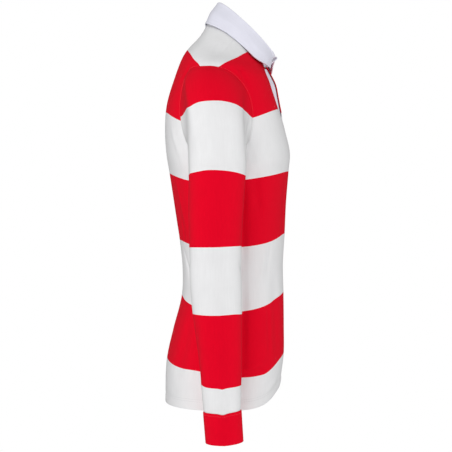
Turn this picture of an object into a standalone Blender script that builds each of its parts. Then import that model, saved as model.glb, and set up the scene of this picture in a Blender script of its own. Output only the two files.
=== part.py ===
"""Rugby shirt in its worn shape, hollow, with long sleeves, a fold-over collar and a slit placket.

Frame: metres, +Z up, the wearer faces -Y, the wearer's right arm is at -X. The origin lies midway
between the shoulder points, where the wearer's shoulders carry the shirt.
"""
import math
from collections import namedtuple

import bmesh
import bpy
from mathutils import Matrix, Vector

MM = 0.001
UP = Vector((0.0, 0.0, 1.0))

# ---- driving dimensions, in millimetres ------------------------------------------------------
JERSEY_WALL = 1.4
HEM_WALL = 2.4
DRILL_WALL = 1.6
STRIP_WALL = 1.2
SEAM_GAP = 0.3
COLLAR_SEAM_GAP = 0.6
HEM_DEPTH = 20.0

ARMHOLE_FRONT_REACH = 62.0
ARMHOLE_BACK_REACH = 54.0
ARMHOLE_FULLNESS = 2.2

SLIT_BASE_HEIGHT = -133.0
SLIT_RIGHT_TOP = 13.0
SLIT_RIGHT_LOW = 4.0
SLIT_LEFT_TOP = 5.0
SLIT_LEFT_LOW = 2.0
LEFT_FRONT_STANDS_PROUD = 4.6
SLIT_FLAT_REACH = 30.0
SLIT_SHIFT_REACH_RIGHT = 120.0
SLIT_SHIFT_REACH_LEFT = 65.0
SLIT_SHIFT_FULL_AT_Y = -60.0
SLIT_SHIFT_ENDS_AT_Y = -35.0
SLIT_OPENS_OVER = 12.0
SLIT_SHIFTS_OVER = 34.0

CUFF_STEP = 1.0

COLLAR_FOLD_RADIUS = 2.6
COLLAR_CROWN_HALF_WIDTH = 0.6 * COLLAR_FOLD_RADIUS
COLLAR_CROWN_DROP = 0.25 * COLLAR_FOLD_RADIUS
COLLAR_BELLY_UP = 2.0
COLLAR_BELLY_OUT = 1.5
COLLAR_LEFT_END_FORWARD = 5.0
COLLAR_LEFT_END_STARTS = 0.6

STRIP_WIDTH = 26.0
STRIP_TAIL = 12.0
STRIP_BELOW_NECK = 7.0
STRIP_CLEARANCE = 0.7
STRIP_PEEP = 1.6
OVERLAP_DEPTH = JERSEY_WALL + STRIP_CLEARANCE
UNDERLAP_BEHIND_OVERLAP = 20.0
UNDERLAP_BEHIND_LEFT = 12.0
UNDERLAP_EASE = 3.0
BUTTON_RADIUS = 5.5
BUTTON_THICKNESS = 2.4
BUTTON_ROUNDING = 0.8
BUTTON_FROM_EDGE = 11.0
BUTTON_HEIGHTS = (-52.0, -82.0, -112.0)
BUTTON_CLEARANCE = 1.0
BUTTON_DEPTH = OVERLAP_DEPTH + STRIP_WALL + BUTTON_CLEARANCE
UNDERLAP_DEPTH = BUTTON_DEPTH + BUTTON_THICKNESS + BUTTON_CLEARANCE

# ---- resolution ------------------------------------------------------------------------------
PANEL_COLUMNS = 10
EDGE_COLUMN = 2.0
BODY_ROWS = 16
ARMHOLE_ROWS = 12
SHOULDER_ROWS = 5
CAP_ROWS = 8
SLEEVE_ROWS = 13
CUFF_ROWS = 3
COLLAR_STATIONS = 17
STRIP_ROWS = 10
OVERLAP_COLUMNS = 4
UNDERLAP_COLUMNS = 8
RING_SAMPLES = 60
BUTTON_SIDES = 24

# ---- body rings, hem to neck -----------------------------------------------------------------
# front, back: Y of the centre front and centre back; half: half width; side: Y of the widest point;
# z_front, z_side, z_back: heights of the ring at those places; n_front, n_back: squareness in plan;
# droop_f, droop_b: how fast the ring falls away from its middle heights, near 1 for a flat tilt
Ring = namedtuple("Ring", "name front back half side z_front z_side z_back n_front n_back droop_f droop_b")
BODY_RINGS = (
    Ring("hem", -104.0, 98.0, 184.0, -2.0, -573.0, -602.0, -604.0, 2.2, 2.3, 4.5, 3.0),
    Ring("lower_hoop", -107.0, 96.0, 181.0, -3.0, -528.0, -552.0, -537.0, 2.2, 2.3, 2.5, 2.5),
    Ring("high_hip", -107.5, 84.5, 175.0, -6.0, -474.0, -500.0, -482.0, 2.2, 2.3, 2.0, 2.0),
    Ring("waist_hoop", -107.0, 70.0, 169.0, -8.0, -420.0, -446.0, -425.0, 2.2, 2.3, 2.0, 2.0),
    Ring("waist", -106.0, 68.5, 166.5, -8.0, -370.0, -395.0, -377.0, 2.2, 2.3, 2.0, 2.0),
    Ring("upper_waist", -109.0, 73.5, 169.5, -5.0, -319.0, -343.0, -329.0, 2.2, 2.4, 2.0, 2.0),
    Ring("ribs", -111.5, 82.0, 177.5, 0.0, -263.0, -289.0, -270.0, 2.3, 2.5, 2.0, 2.0),
    Ring("bust_hoop", -116.0, 91.0, 185.0, 5.0, -208.0, -236.0, -211.0, 2.3, 2.6, 2.0, 2.0),
    Ring("underarm", -118.0, 95.5, 187.0, 8.0, -178.0, -209.0, -182.0, 2.4, 2.8, 2.0, 2.0),
    Ring("chest", -110.5, 98.0, 184.0, 11.0, -143.0, -172.0, -142.0, 2.4, 2.9, 2.0, 2.0),
    Ring("chest_hoop", -99.5, 95.0, 180.5, 13.0, -101.0, -133.0, -98.0, 2.6, 3.0, 1.8, 2.0),
    Ring("upper_chest", -95.0, 83.0, 180.5, 15.0, -78.0, -93.0, -54.0, 2.3, 2.7, 1.4, 2.2),
    Ring("shoulder_point", -90.5, 65.5, 187.0, 18.0, -56.0, -51.0, -8.0, 1.95, 2.2, 0.95, 2.2),
    Ring("mid_shoulder", -81.5, 38.0, 134.0, -4.0, -37.0, -18.0, 26.0, 2.0, 2.1, 0.9, 1.3),
    Ring("neck", -74.0, 19.0, 80.0, -27.0, -24.0, 18.0, 61.5, 2.1, 2.2, 0.92, 0.92),
)
BUST_HOOP = 7
UNDERARM = 8
SHOULDER_POINT = 12

# ---- sleeve sections below the cap; shape of a right sleeve ----------------------------------
Section = namedtuple("Section", "name z x y half_x half_y")
SLEEVE_SECTIONS = (
    Section("below_cap", -225.0, -244.0, 7.0, 45.0, 45.0),
    Section("upper_arm", -285.0, -245.0, 8.4, 43.5, 42.6),
    Section("above_elbow", -341.0, -246.0, 9.4, 42.0, 40.4),
    Section("elbow", -395.0, -247.0, 8.8, 41.0, 39.9),
    Section("forearm", -445.0, -248.5, 6.2, 39.5, 37.9),
    Section("mid_forearm", -485.0, -250.0, 3.4, 37.5, 35.2),
    Section("lower_forearm", -530.0, -251.5, 0.7, 34.5, 32.2),
    Section("above_cuff", -560.0, -252.5, 0.2, 32.5, 30.4),
    Section("cuff_seam", -593.0, -253.5, -1.3, 31.0, 28.9),
    Section("cuff_bottom", -641.0, -255.0, -4.7, 30.5, 28.2),
)
SLEEVE_PLAN_POWER = 2.1
CAP_EXTRA_GAP = 0.3
SLEEVE_HEAD_PUSH = (-0.6, 0.0, 0.25)
SIDE_HOLD = 0.3
CAP_LEAVE = 0.95
CAP_ARRIVE = 1.15
# Where the cap stands fuller: psi in degrees at the middle of the swelling, how far it reaches on
# each side, and how far it pushes the cloth out and along.
Swell = namedtuple("Swell", "name psi reach x y")
CAP_SWELLS = (
    Swell("front", 38.0, 40.0, -7.0, -10.0),
    Swell("back", -46.0, 42.0, -4.0, 8.5),
)
CAP_SWELL_PEAK = 27.0 / 4.0

# ---- placket slit ----------------------------------------------------------------------------
# How far the right front lies back beside the slit, at heights of the centre front.
Sink = namedtuple("Sink", "z depth")
RIGHT_SINKS = (
    Sink(-133.0, 0.5),
    Sink(-99.0, 3.2),
    Sink(-66.0, 6.3),
    Sink(-40.0, 5.6),
    Sink(-24.0, 1.5),
)

# ---- collar ----------------------------------------------------------------------------------
# The neck seam and the fold are rings; the leaf's edge is a row of stations from the centre back
# round the right side to the front point.
FOLD_RING = Ring("collar_fold", -91.0, 7.0, 68.0, -42.0, -6.5, 40.0, 86.5, 2.2, 2.2, 0.92, 0.92)
FOLD_FRONT_ANGLE = 9.0
Leaf = namedtuple("Leaf", "name share x y z")
LEAF_EDGE = (
    Leaf("centre_back", 0.0, 0.0, 30.0, 50.0),
    Leaf("back", 0.22, -60.0, 26.5, 40.5),
    Leaf("back_shoulder", 0.36, -87.0, 13.0, 31.0),
    Leaf("shoulder", 0.48, -96.5, -6.0, 19.5),
    Leaf("front_shoulder", 0.6, -99.0, -33.0, -2.0),
    Leaf("chest", 0.74, -100.0, -56.5, -24.5),
    Leaf("near_point", 0.88, -72.0, -75.0, -31.5),
    Leaf("point", 1.0, -36.0, -84.0, -32.5),
)

# ---- largest folds: soft troughs in the panels and sleeves -----------------------------------
# turn: degrees round from the centre front, positive on the wearer's right; z: height
Fold = namedtuple("Fold", "name turn_a z_a turn_b z_b width depth")
FOLD_ENDS = 0.35
FOLDS_STOP_ABOVE_UNDERARM = 20.0
BODY_FOLDS = (
    Fold("front_drop", 40.0, -360.0, 33.0, -555.0, 20.0, 2.6),
    Fold("front_drop_left", -37.0, -385.0, -30.0, -560.0, 20.0, 2.4),
    Fold("underarm_front", 66.0, -205.0, 58.0, -300.0, 15.0, 3.0),
    Fold("underarm_front_left", -66.0, -205.0, -57.0, -310.0, 15.0, 3.0),
    Fold("waist_back", 104.0, -330.0, 150.0, -400.0, 16.0, 3.0),
    Fold("waist_back_left", -106.0, -335.0, -149.0, -395.0, 16.0, 3.0),
    Fold("back_drop", 128.0, -420.0, 137.0, -575.0, 22.0, 3.0),
    Fold("back_drop_left", -131.0, -415.0, -140.0, -580.0, 22.0, 3.0),
)

# ---- finishes --------------------------------------------------------------------------------
RED = (0.72, 0.008, 0.022, 1.0)
WHITE = (0.78, 0.78, 0.79, 1.0)
DRILL_WHITE = (0.76, 0.76, 0.84, 1.0)
RUBBER_WHITE = (0.70, 0.70, 0.68, 1.0)


# ---- measuring the surfaces ------------------------------------------------------------------
SLOPE_STEP = 1.5
SLOPE_TURN = 0.02
HEIGHT_HALVINGS = 30
MERGE_DISTANCE = 0.02


# ---- small tools -----------------------------------------------------------------------------
def spline(knots, values, at):
    """Read a smooth curve through values at knots."""
    last = len(knots) - 1
    at = min(max(at, knots[0]), knots[last])
    i = 0
    while i < last - 1 and at > knots[i + 1]:
        i += 1

    def slope(k):
        low = max(k - 1, 0)
        high = min(k + 1, last)
        return (values[high] - values[low]) / (knots[high] - knots[low])

    span = knots[i + 1] - knots[i]
    s = (at - knots[i]) / span
    return (
        (2 * s**3 - 3 * s**2 + 1) * values[i]
        + (s**3 - 2 * s**2 + s) * span * slope(i)
        + (3 * s**2 - 2 * s**3) * values[i + 1]
        + (s**3 - s**2) * span * slope(i + 1)
    )


def smooth(x):
    x = min(max(x, 0.0), 1.0)
    return x * x * (3 - 2 * x)


def resample(points, shares):
    """Points at the given shares of a polyline's length."""
    lengths = [0.0]
    for a, b in zip(points, points[1:]):
        lengths.append(lengths[-1] + (b - a).length)
    out = []
    i = 0
    for share in shares:
        goal = share * lengths[-1]
        while i < len(points) - 2 and lengths[i + 1] < goal:
            i += 1
        part = (goal - lengths[i]) / (lengths[i + 1] - lengths[i])
        out.append(points[i].lerp(points[i + 1], part))
    return out, lengths[-1]


def even_shares(count, length, edge_start, edge_end):
    """Even shares of a length, with one narrow column beside each edge that is a seam."""
    edge = EDGE_COLUMN / length
    low = edge if edge_start else 0.0
    high = 1.0 - edge if edge_end else 1.0
    shares = [low + (high - low) * k / count for k in range(count + 1)]
    if edge_start:
        shares.insert(0, 0.0)
    if edge_end:
        shares.append(1.0)
    return shares


# ---- body surface ----------------------------------------------------------------------------
def ring_knots(rings):
    knots = [0.0]
    for a, b in zip(rings, rings[1:]):
        front = math.hypot(b.front - a.front, b.z_front - a.z_front)
        side = math.hypot(b.half - a.half, b.z_side - a.z_side)
        back = math.hypot(b.back - a.back, b.z_back - a.z_back)
        knots.append(knots[-1] + (front + side + back) / 3)
    return knots


KNOTS = ring_knots(BODY_RINGS)
RUN_UNDERARM = KNOTS[UNDERARM]
RUN_SHOULDER = KNOTS[SHOULDER_POINT]
RUN_NECK = KNOTS[-1]


def ring_at(run):
    fields = Ring._fields[1:]
    values = [spline(KNOTS, [getattr(r, f) for r in BODY_RINGS], run) for f in fields]
    return Ring("between", *values)


def ring_point(ring, turn):
    """A point of a ring at a turn in radians from the centre front, positive to the right."""
    side = math.copysign(1.0, turn)
    s = abs(math.sin(turn))
    c = math.cos(turn)
    if c >= 0:
        power, middle, z_middle, droop = 2 / ring.n_front, ring.front, ring.z_front, ring.droop_f
    else:
        power, middle, z_middle, droop = 2 / ring.n_back, ring.back, ring.z_back, ring.droop_b
    x = -side * ring.half * s**power
    y = ring.side + (middle - ring.side) * abs(c) ** power
    z = ring.z_side + (z_middle - ring.z_side) * abs(c) ** droop
    return Vector((x, y, z))


def turn_at_reach(ring, reach, back):
    """The turn at which a ring is the given distance, in Y, from its widest point."""
    middle = ring.back if back else ring.front
    n = ring.n_back if back else ring.n_front
    share = min(reach / abs(middle - ring.side), 1.0)
    turn = math.acos(share ** (n / 2))
    return math.pi - turn if back else turn


def armhole_reach(psi, back):
    """Half depth of the armhole at psi: 0 at the shoulder point, pi under the arm."""
    full = ARMHOLE_BACK_REACH if back else ARMHOLE_FRONT_REACH
    rise = abs(math.cos(psi)) ** ARMHOLE_FULLNESS
    return full * max(1.0 - rise, 0.0) ** (1 / ARMHOLE_FULLNESS)


def armhole_run(psi):
    return RUN_UNDERARM + (RUN_SHOULDER - RUN_UNDERARM) * (1 + math.cos(psi)) / 2


def armhole_point(psi):
    """The armhole seam of the right side; psi runs from the top, round the front, under the arm."""
    psi %= 2 * math.pi
    back = psi > math.pi
    ring = ring_at(armhole_run(psi))
    turn = turn_at_reach(ring, armhole_reach(psi, back), back)
    return body_point(ring, turn)


def fold_push(turn, z, half):
    """How far the cloth is pressed in at a place of the body."""
    push = 0.0
    for fold in BODY_FOLDS:
        start = Vector((math.radians(fold.turn_a) * half, fold.z_a))
        end = Vector((math.radians(fold.turn_b) * half, fold.z_b))
        along = end - start
        here = Vector((turn * half, z)) - start
        share = here.dot(along) / along.length_squared
        away = (here - along * share).length
        ends = smooth(share / FOLD_ENDS) * smooth((1 - share) / FOLD_ENDS)
        push += fold.depth * ends * math.exp(-((away / fold.width) ** 2))
    return push


def body_point(ring, turn):
    point = ring_point(ring, turn)
    if ring.z_side > BODY_RINGS[UNDERARM].z_side + FOLDS_STOP_ABOVE_UNDERARM:
        return point
    inward = Vector((-point.x, ring.side - point.y, 0.0)).normalized()
    return point + inward * fold_push(turn, point.z, ring.half)


def slit_half_width(z, side):
    """How far one edge of the placket's slit lies from the middle; nothing below its base."""
    if z <= SLIT_BASE_HEIGHT:
        return 0.0
    low, top = (SLIT_RIGHT_LOW, SLIT_RIGHT_TOP) if side > 0 else (SLIT_LEFT_LOW, SLIT_LEFT_TOP)
    climb = (z - SLIT_BASE_HEIGHT) / (BODY_RINGS[-1].z_front - SLIT_BASE_HEIGHT)
    return smooth((z - SLIT_BASE_HEIGHT) / SLIT_OPENS_OVER) * (low + (top - low) * climb)


def slit_shift(point, side):
    """Beside the slit the right front sinks back and the left front stands forward."""
    reach = SLIT_SHIFT_REACH_RIGHT if side > 0 else SLIT_SHIFT_REACH_LEFT
    rise = smooth((point.z - SLIT_BASE_HEIGHT) / SLIT_SHIFTS_OVER)
    rise *= smooth((reach - abs(point.x)) / (reach - SLIT_FLAT_REACH))
    rise *= smooth((SLIT_SHIFT_ENDS_AT_Y - point.y) / (SLIT_SHIFT_ENDS_AT_Y - SLIT_SHIFT_FULL_AT_Y))
    if side < 0:
        return -rise * LEFT_FRONT_STANDS_PROUD
    return rise * spline([s.z for s in RIGHT_SINKS], [s.depth for s in RIGHT_SINKS], point.z)


def panel_rows(back):
    """For each row of a panel: its ring and how far its edge lies from the ring's widest point."""
    rows = []
    for k in range(BODY_ROWS):
        share = k / BODY_ROWS
        rows.append((RUN_UNDERARM * share, SEAM_GAP / 2))
    rows.insert(1, (HEM_DEPTH, SEAM_GAP / 2))
    for k in range(ARMHOLE_ROWS + 1):
        psi = math.pi * (1 - k / ARMHOLE_ROWS)
        reach = armhole_reach(psi, back)
        rows.append((armhole_run(psi), reach + SEAM_GAP / 2))
    for k in range(1, SHOULDER_ROWS + 1):
        share = k / SHOULDER_ROWS
        rows.append((RUN_SHOULDER + (RUN_NECK - RUN_SHOULDER) * share, SEAM_GAP / 2))
    return rows


def front_half_rows(side):
    """The rows of one half of the front, each from the centre front to the side."""
    rows = []
    for run, reach in panel_rows(back=False):
        ring = ring_at(run)
        edge = turn_at_reach(ring, reach, back=False)
        gap = slit_half_width(ring.z_front, side)
        start = math.asin((gap / ring.half) ** (ring.n_front / 2))
        turns = [start + (edge - start) * k / RING_SAMPLES for k in range(RING_SAMPLES + 1)]
        line = [body_point(ring, turn * side) for turn in turns]
        for point in line:
            point.y += slit_shift(point, side)
        length = sum((b - a).length for a, b in zip(line, line[1:]))
        points, _ = resample(line, even_shares(PANEL_COLUMNS, length, False, True))
        rows.append(points)
    return rows


def back_rows():
    """The rows of the back, from the wearer's right side to the left."""
    rows = []
    for run, reach in panel_rows(back=True):
        ring = ring_at(run)
        edge = turn_at_reach(ring, reach, back=True)
        step = (math.pi - edge) / RING_SAMPLES
        right = [body_point(ring, edge + step * k) for k in range(RING_SAMPLES + 1)]
        left = [body_point(ring, -math.pi + step * k) for k in range(1, RING_SAMPLES + 1)]
        line = right + left
        length = sum((b - a).length for a, b in zip(line, line[1:]))
        points, _ = resample(line, even_shares(2 * PANEL_COLUMNS, length, True, True))
        rows.append(points)
    return rows


# ---- sleeve surface --------------------------------------------------------------------------
def section_at(z):
    heights = [-s.z for s in SLEEVE_SECTIONS]
    values = [spline(heights, [getattr(s, f) for s in SLEEVE_SECTIONS], -z) for f in Section._fields[1:]]
    return Section("between", *values)


def sleeve_point(z, psi):
    """A point of the right sleeve below its cap; psi is 0 outside, then front, inside, back."""
    section = section_at(z)
    power = 2 / SLEEVE_PLAN_POWER
    c = math.cos(psi)
    s = math.sin(psi)
    x = section.x - section.half_x * math.copysign(abs(c) ** power, c)
    y = section.y - section.half_y * math.copysign(abs(s) ** power, s)
    return Vector((x, y, z))


def armhole_leave(psi, goal):
    """The direction in which the sleeve leaves its seam: on from the panel, bent to its goal."""
    here = armhole_point(psi)
    along = armhole_point(psi + SLOPE_TURN) - armhole_point(psi - SLOPE_TURN)
    back = psi > math.pi
    ring = ring_at(armhole_run(psi))
    turn = turn_at_reach(ring, armhole_reach(psi, back) + SLOPE_STEP, back)
    ring_away = here - body_point(ring, turn)
    higher = ring_at(min(armhole_run(psi) + SLOPE_STEP, RUN_NECK))
    rise = body_point(higher, turn) - body_point(ring, turn)
    normal = ring_away.cross(rise)
    out = normal.cross(along)
    chord = (goal - here).normalized()
    if out.length < 1e-9:
        return chord
    out.normalize()
    if out.x > 0:
        out = -out
    hold = SIDE_HOLD + (1 - SIDE_HOLD) * math.cos(psi)
    if math.cos(psi) < 0:
        hold = SIDE_HOLD * (1 + math.cos(psi))
    head = Vector(SLEEVE_HEAD_PUSH) * math.sqrt(max(math.cos(psi), 0.0))
    return (chord * (1 - hold) + out * hold + head).normalized()


def cap_swell(psi, share):
    """How far the cap swells, at a share of the way from the armhole to the top of the sleeve tube."""
    degrees = math.degrees(psi)
    if degrees > 180.0:
        degrees -= 360.0
    push = Vector((0.0, 0.0, 0.0))
    for swell in CAP_SWELLS:
        away = min(abs(degrees - swell.psi) / swell.reach, 1.0)
        push += Vector((swell.x, swell.y, 0.0)) * math.cos(away * math.pi / 2) ** 2
    return push * CAP_SWELL_PEAK * share * (1 - share) ** 2


def sleeve_rows():
    """Closed rings of the right sleeve, armhole to cuff seam."""
    psis = [2 * math.pi * k / (2 * ARMHOLE_ROWS) for k in range(2 * ARMHOLE_ROWS)]
    top = SLEEVE_SECTIONS[0].z
    bottom = SLEEVE_SECTIONS[-2].z + SEAM_GAP / 2
    rows = [[] for _ in range(CAP_ROWS + 1)]
    for psi in psis:
        goal = sleeve_point(top, psi)
        below = sleeve_point(top - SLOPE_STEP, psi)
        arrive = (below - goal).normalized()
        leave = armhole_leave(psi, goal)
        start = armhole_point(psi) + leave * (SEAM_GAP / 2 + CAP_EXTRA_GAP * max(math.cos(psi), 0.0))
        reach = (goal - start).length
        leave_pull = leave * reach * CAP_LEAVE
        arrive_pull = arrive * reach * CAP_ARRIVE
        for k in range(CAP_ROWS + 1):
            share = k / CAP_ROWS
            if k == 1:
                share = min(EDGE_COLUMN / reach, share)
            blend = (
                start * (2 * share**3 - 3 * share**2 + 1)
                + leave_pull * (share**3 - 2 * share**2 + share)
                + goal * (3 * share**2 - 2 * share**3)
                + arrive_pull * (share**3 - share**2)
            )
            rows[k].append(blend + cap_swell(psi, share))
    for k in range(1, SLEEVE_ROWS + 1):
        z = top + (bottom - top) * k / SLEEVE_ROWS
        rows.append([sleeve_point(z, psi) for psi in psis])
    return rows


def cuff_rows():
    psis = [2 * math.pi * k / (2 * ARMHOLE_ROWS) for k in range(2 * ARMHOLE_ROWS)]
    top = SLEEVE_SECTIONS[-2].z - SEAM_GAP / 2
    bottom = SLEEVE_SECTIONS[-1].z
    rows = []
    for k in range(CUFF_ROWS + 1):
        z = top + (bottom - top) * k / CUFF_ROWS
        centre = Vector((section_at(z).x, section_at(z).y, z))
        ring = []
        for psi in psis:
            point = sleeve_point(z, psi)
            ring.append(point + (point - centre).normalized() * CUFF_STEP)
        rows.append(ring)
    return rows


# ---- collar surface --------------------------------------------------------------------------
def leaf_edge(share):
    knots = [leaf.share for leaf in LEAF_EDGE]
    return Vector([spline(knots, [getattr(leaf, f) for leaf in LEAF_EDGE], share) for f in "xyz"])


def ring_line(ring, front_turn, count):
    """Even points of a ring's right half, from the centre back to a turn near the front."""
    turns = [math.pi + (front_turn - math.pi) * k / RING_SAMPLES for k in range(RING_SAMPLES + 1)]
    points, _ = resample([ring_point(ring, turn) for turn in turns], [k / count for k in range(count + 1)])
    points[0].x = 0.0
    return points


def collar_profiles(side):
    """One row of points for each station: up the stand, over the fold, down the leaf."""
    count = COLLAR_STATIONS
    neck = BODY_RINGS[-1]
    slit = SLIT_RIGHT_TOP if side > 0 else SLIT_LEFT_TOP
    slit_turn = math.asin((slit / neck.half) ** (neck.n_front / 2))
    seam = ring_line(neck, slit_turn, count)
    fold = ring_line(FOLD_RING, math.radians(FOLD_FRONT_ANGLE), count)
    profiles = []
    for k in range(count + 1):
        share = k / count
        edge = leaf_edge(share)
        top = fold[k]
        foot = seam[k].copy()
        foot.y += slit_shift(foot, side)
        if side < 0:
            climb = (share - COLLAR_LEFT_END_STARTS) / (1 - COLLAR_LEFT_END_STARTS)
            forward = COLLAR_LEFT_END_FORWARD * smooth(climb)
            for point in (edge, top):
                point.y -= forward
        rise = (top - foot).normalized()
        fall = (edge - top).normalized()
        out = Vector((fall.x, fall.y, 0.0)).normalized()
        foot += rise * COLLAR_SEAM_GAP
        fold_foot = top - UP * COLLAR_FOLD_RADIUS
        inner = fold_foot - out * COLLAR_FOLD_RADIUS
        outer = fold_foot + out * COLLAR_FOLD_RADIUS
        crown = top - UP * COLLAR_CROWN_DROP
        belly = outer.lerp(edge, 0.5) + UP * COLLAR_BELLY_UP + out * COLLAR_BELLY_OUT
        row = [foot, foot.lerp(inner, 0.5), inner]
        row.append(crown - out * COLLAR_CROWN_HALF_WIDTH)
        row.append(crown + out * COLLAR_CROWN_HALF_WIDTH)
        row += [outer, outer.lerp(belly, 0.5), belly, belly.lerp(edge, 0.5), edge]
        if side < 0:
            row = [Vector((-p.x, p.y, p.z)) for p in row]
        profiles.append(row)
    return profiles


# ---- placket strips --------------------------------------------------------------------------
def front_place(z, x):
    """The front's outer surface and its outward normal at a height of the centre front."""
    low = KNOTS[BUST_HOOP]
    high = RUN_NECK
    for _ in range(HEIGHT_HALVINGS):
        middle = (low + high) / 2
        if ring_at(middle).z_front < z:
            low = middle
        else:
            high = middle
    ring = ring_at(low)
    turn = math.copysign(math.asin(min(abs(x) / ring.half, 1.0) ** (ring.n_front / 2)), -x)
    point = ring_point(ring, turn)
    down = ring_point(ring_at(low - SLOPE_STEP), turn) - point
    across = ring_point(ring, turn + SLOPE_TURN) - ring_point(ring, turn - SLOPE_TURN)
    normal = across.cross(down).normalized()
    if normal.y > 0:
        normal = -normal
    return point, normal


def placket_place(z, x, depth, side):
    """A point behind one front at a height and a distance across, with its outward normal."""
    surface, normal = front_place(z, x)
    point = surface - normal * depth
    point.y += slit_shift(surface, side)
    return point, normal


def overlap_rows():
    """The strip under the right front; it peeps out beyond the slit's edge."""
    top = BODY_RINGS[-1].z_front - STRIP_BELOW_NECK
    bottom = SLIT_BASE_HEIGHT - STRIP_TAIL
    rows = []
    for i in range(STRIP_ROWS + 1):
        z = top + (bottom - top) * i / STRIP_ROWS
        inner = -slit_half_width(z, 1) + STRIP_PEEP
        xs = [inner - STRIP_WIDTH + STRIP_WIDTH * j / OVERLAP_COLUMNS for j in range(OVERLAP_COLUMNS + 1)]
        rows.append([placket_place(z, x, OVERLAP_DEPTH, 1)[0] for x in xs])
    return rows


def underlap_rows():
    """The strip under the left front; it crosses the slit and dives behind the overlap."""
    top = BODY_RINGS[-1].z_front - STRIP_BELOW_NECK
    bottom = SLIT_BASE_HEIGHT - STRIP_TAIL
    rows = []
    for i in range(STRIP_ROWS + 1):
        z = top + (bottom - top) * i / STRIP_ROWS
        left = slit_half_width(z, -1)
        right = -slit_half_width(z, 1)
        start = right - UNDERLAP_BEHIND_OVERLAP
        end = left + UNDERLAP_BEHIND_LEFT
        line = []
        for j in range(UNDERLAP_COLUMNS + 1):
            x = start + (end - start) * j / UNDERLAP_COLUMNS
            share = smooth((x - right + UNDERLAP_EASE) / (left - right + 2 * UNDERLAP_EASE))
            behind_right = placket_place(z, x, UNDERLAP_DEPTH, 1)[0]
            behind_left = placket_place(z, x, OVERLAP_DEPTH, -1)[0]
            line.append(behind_right.lerp(behind_left, share))
        rows.append(line)
    return rows


# ---- making objects --------------------------------------------------------------------------
def clear_scene():
    for item in list(bpy.data.objects):
        bpy.data.objects.remove(item, do_unlink=True)


def make_collection():
    collection = bpy.data.collections.new("rugby_shirt")
    bpy.context.scene.collection.children.link(collection)
    return collection


def make_material(name, colour, roughness):
    material = bpy.data.materials.new(name)
    material.use_nodes = True
    shader = material.node_tree.nodes["Principled BSDF"]
    shader.inputs["Base Color"].default_value = colour
    shader.inputs["Roughness"].default_value = roughness
    shader.inputs["Metallic"].default_value = 0.0
    return material


def loft(bm, rows, closed):
    """Skin rows of points, given in millimetres, with quads."""
    grid = [[bm.verts.new(point * MM) for point in row] for row in rows]
    for low, high in zip(grid, grid[1:]):
        count = len(low)
        steps = count if closed else count - 1
        for j in range(steps):
            k = (j + 1) % count
            bm.faces.new((low[j], high[j], high[k], low[k]))
    return grid


def make_wall(name, grids, closed, flip, wall, material, collection, hem_rows=0):
    """Turn rows of points into a wall of cloth whose outer face holds the points."""
    bm = bmesh.new()
    hem_verts = []
    for rows in grids:
        grid = loft(bm, rows, closed)
        for row in grid[:hem_rows]:
            hem_verts += row
    marks = {(round(v.co.x, 6), round(v.co.y, 6), round(v.co.z, 6)) for v in hem_verts}
    bmesh.ops.remove_doubles(bm, verts=bm.verts, dist=MERGE_DISTANCE * MM)
    if flip:
        bmesh.ops.reverse_faces(bm, faces=bm.faces)
    mesh = bpy.data.meshes.new(name)
    bm.to_mesh(mesh)
    bm.free()
    mesh.shade_smooth()
    mesh.materials.append(material)
    item = bpy.data.objects.new(name, mesh)
    collection.objects.link(item)
    solidify = item.modifiers.new("cloth", "SOLIDIFY")
    solidify.offset = -1.0
    solidify.thickness = wall * MM
    if hem_rows:
        group = item.vertex_groups.new(name="hem")
        solidify.thickness = HEM_WALL * MM
        solidify.vertex_group = group.name
        solidify.thickness_vertex_group = wall / HEM_WALL
        for vertex in mesh.vertices:
            key = (round(vertex.co.x, 6), round(vertex.co.y, 6), round(vertex.co.z, 6))
            group.add([vertex.index], 1.0 if key in marks else 0.0, "REPLACE")
    return item


def mirrored(rows):
    return [[Vector((-p.x, p.y, p.z)) for p in row] for row in rows]


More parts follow.
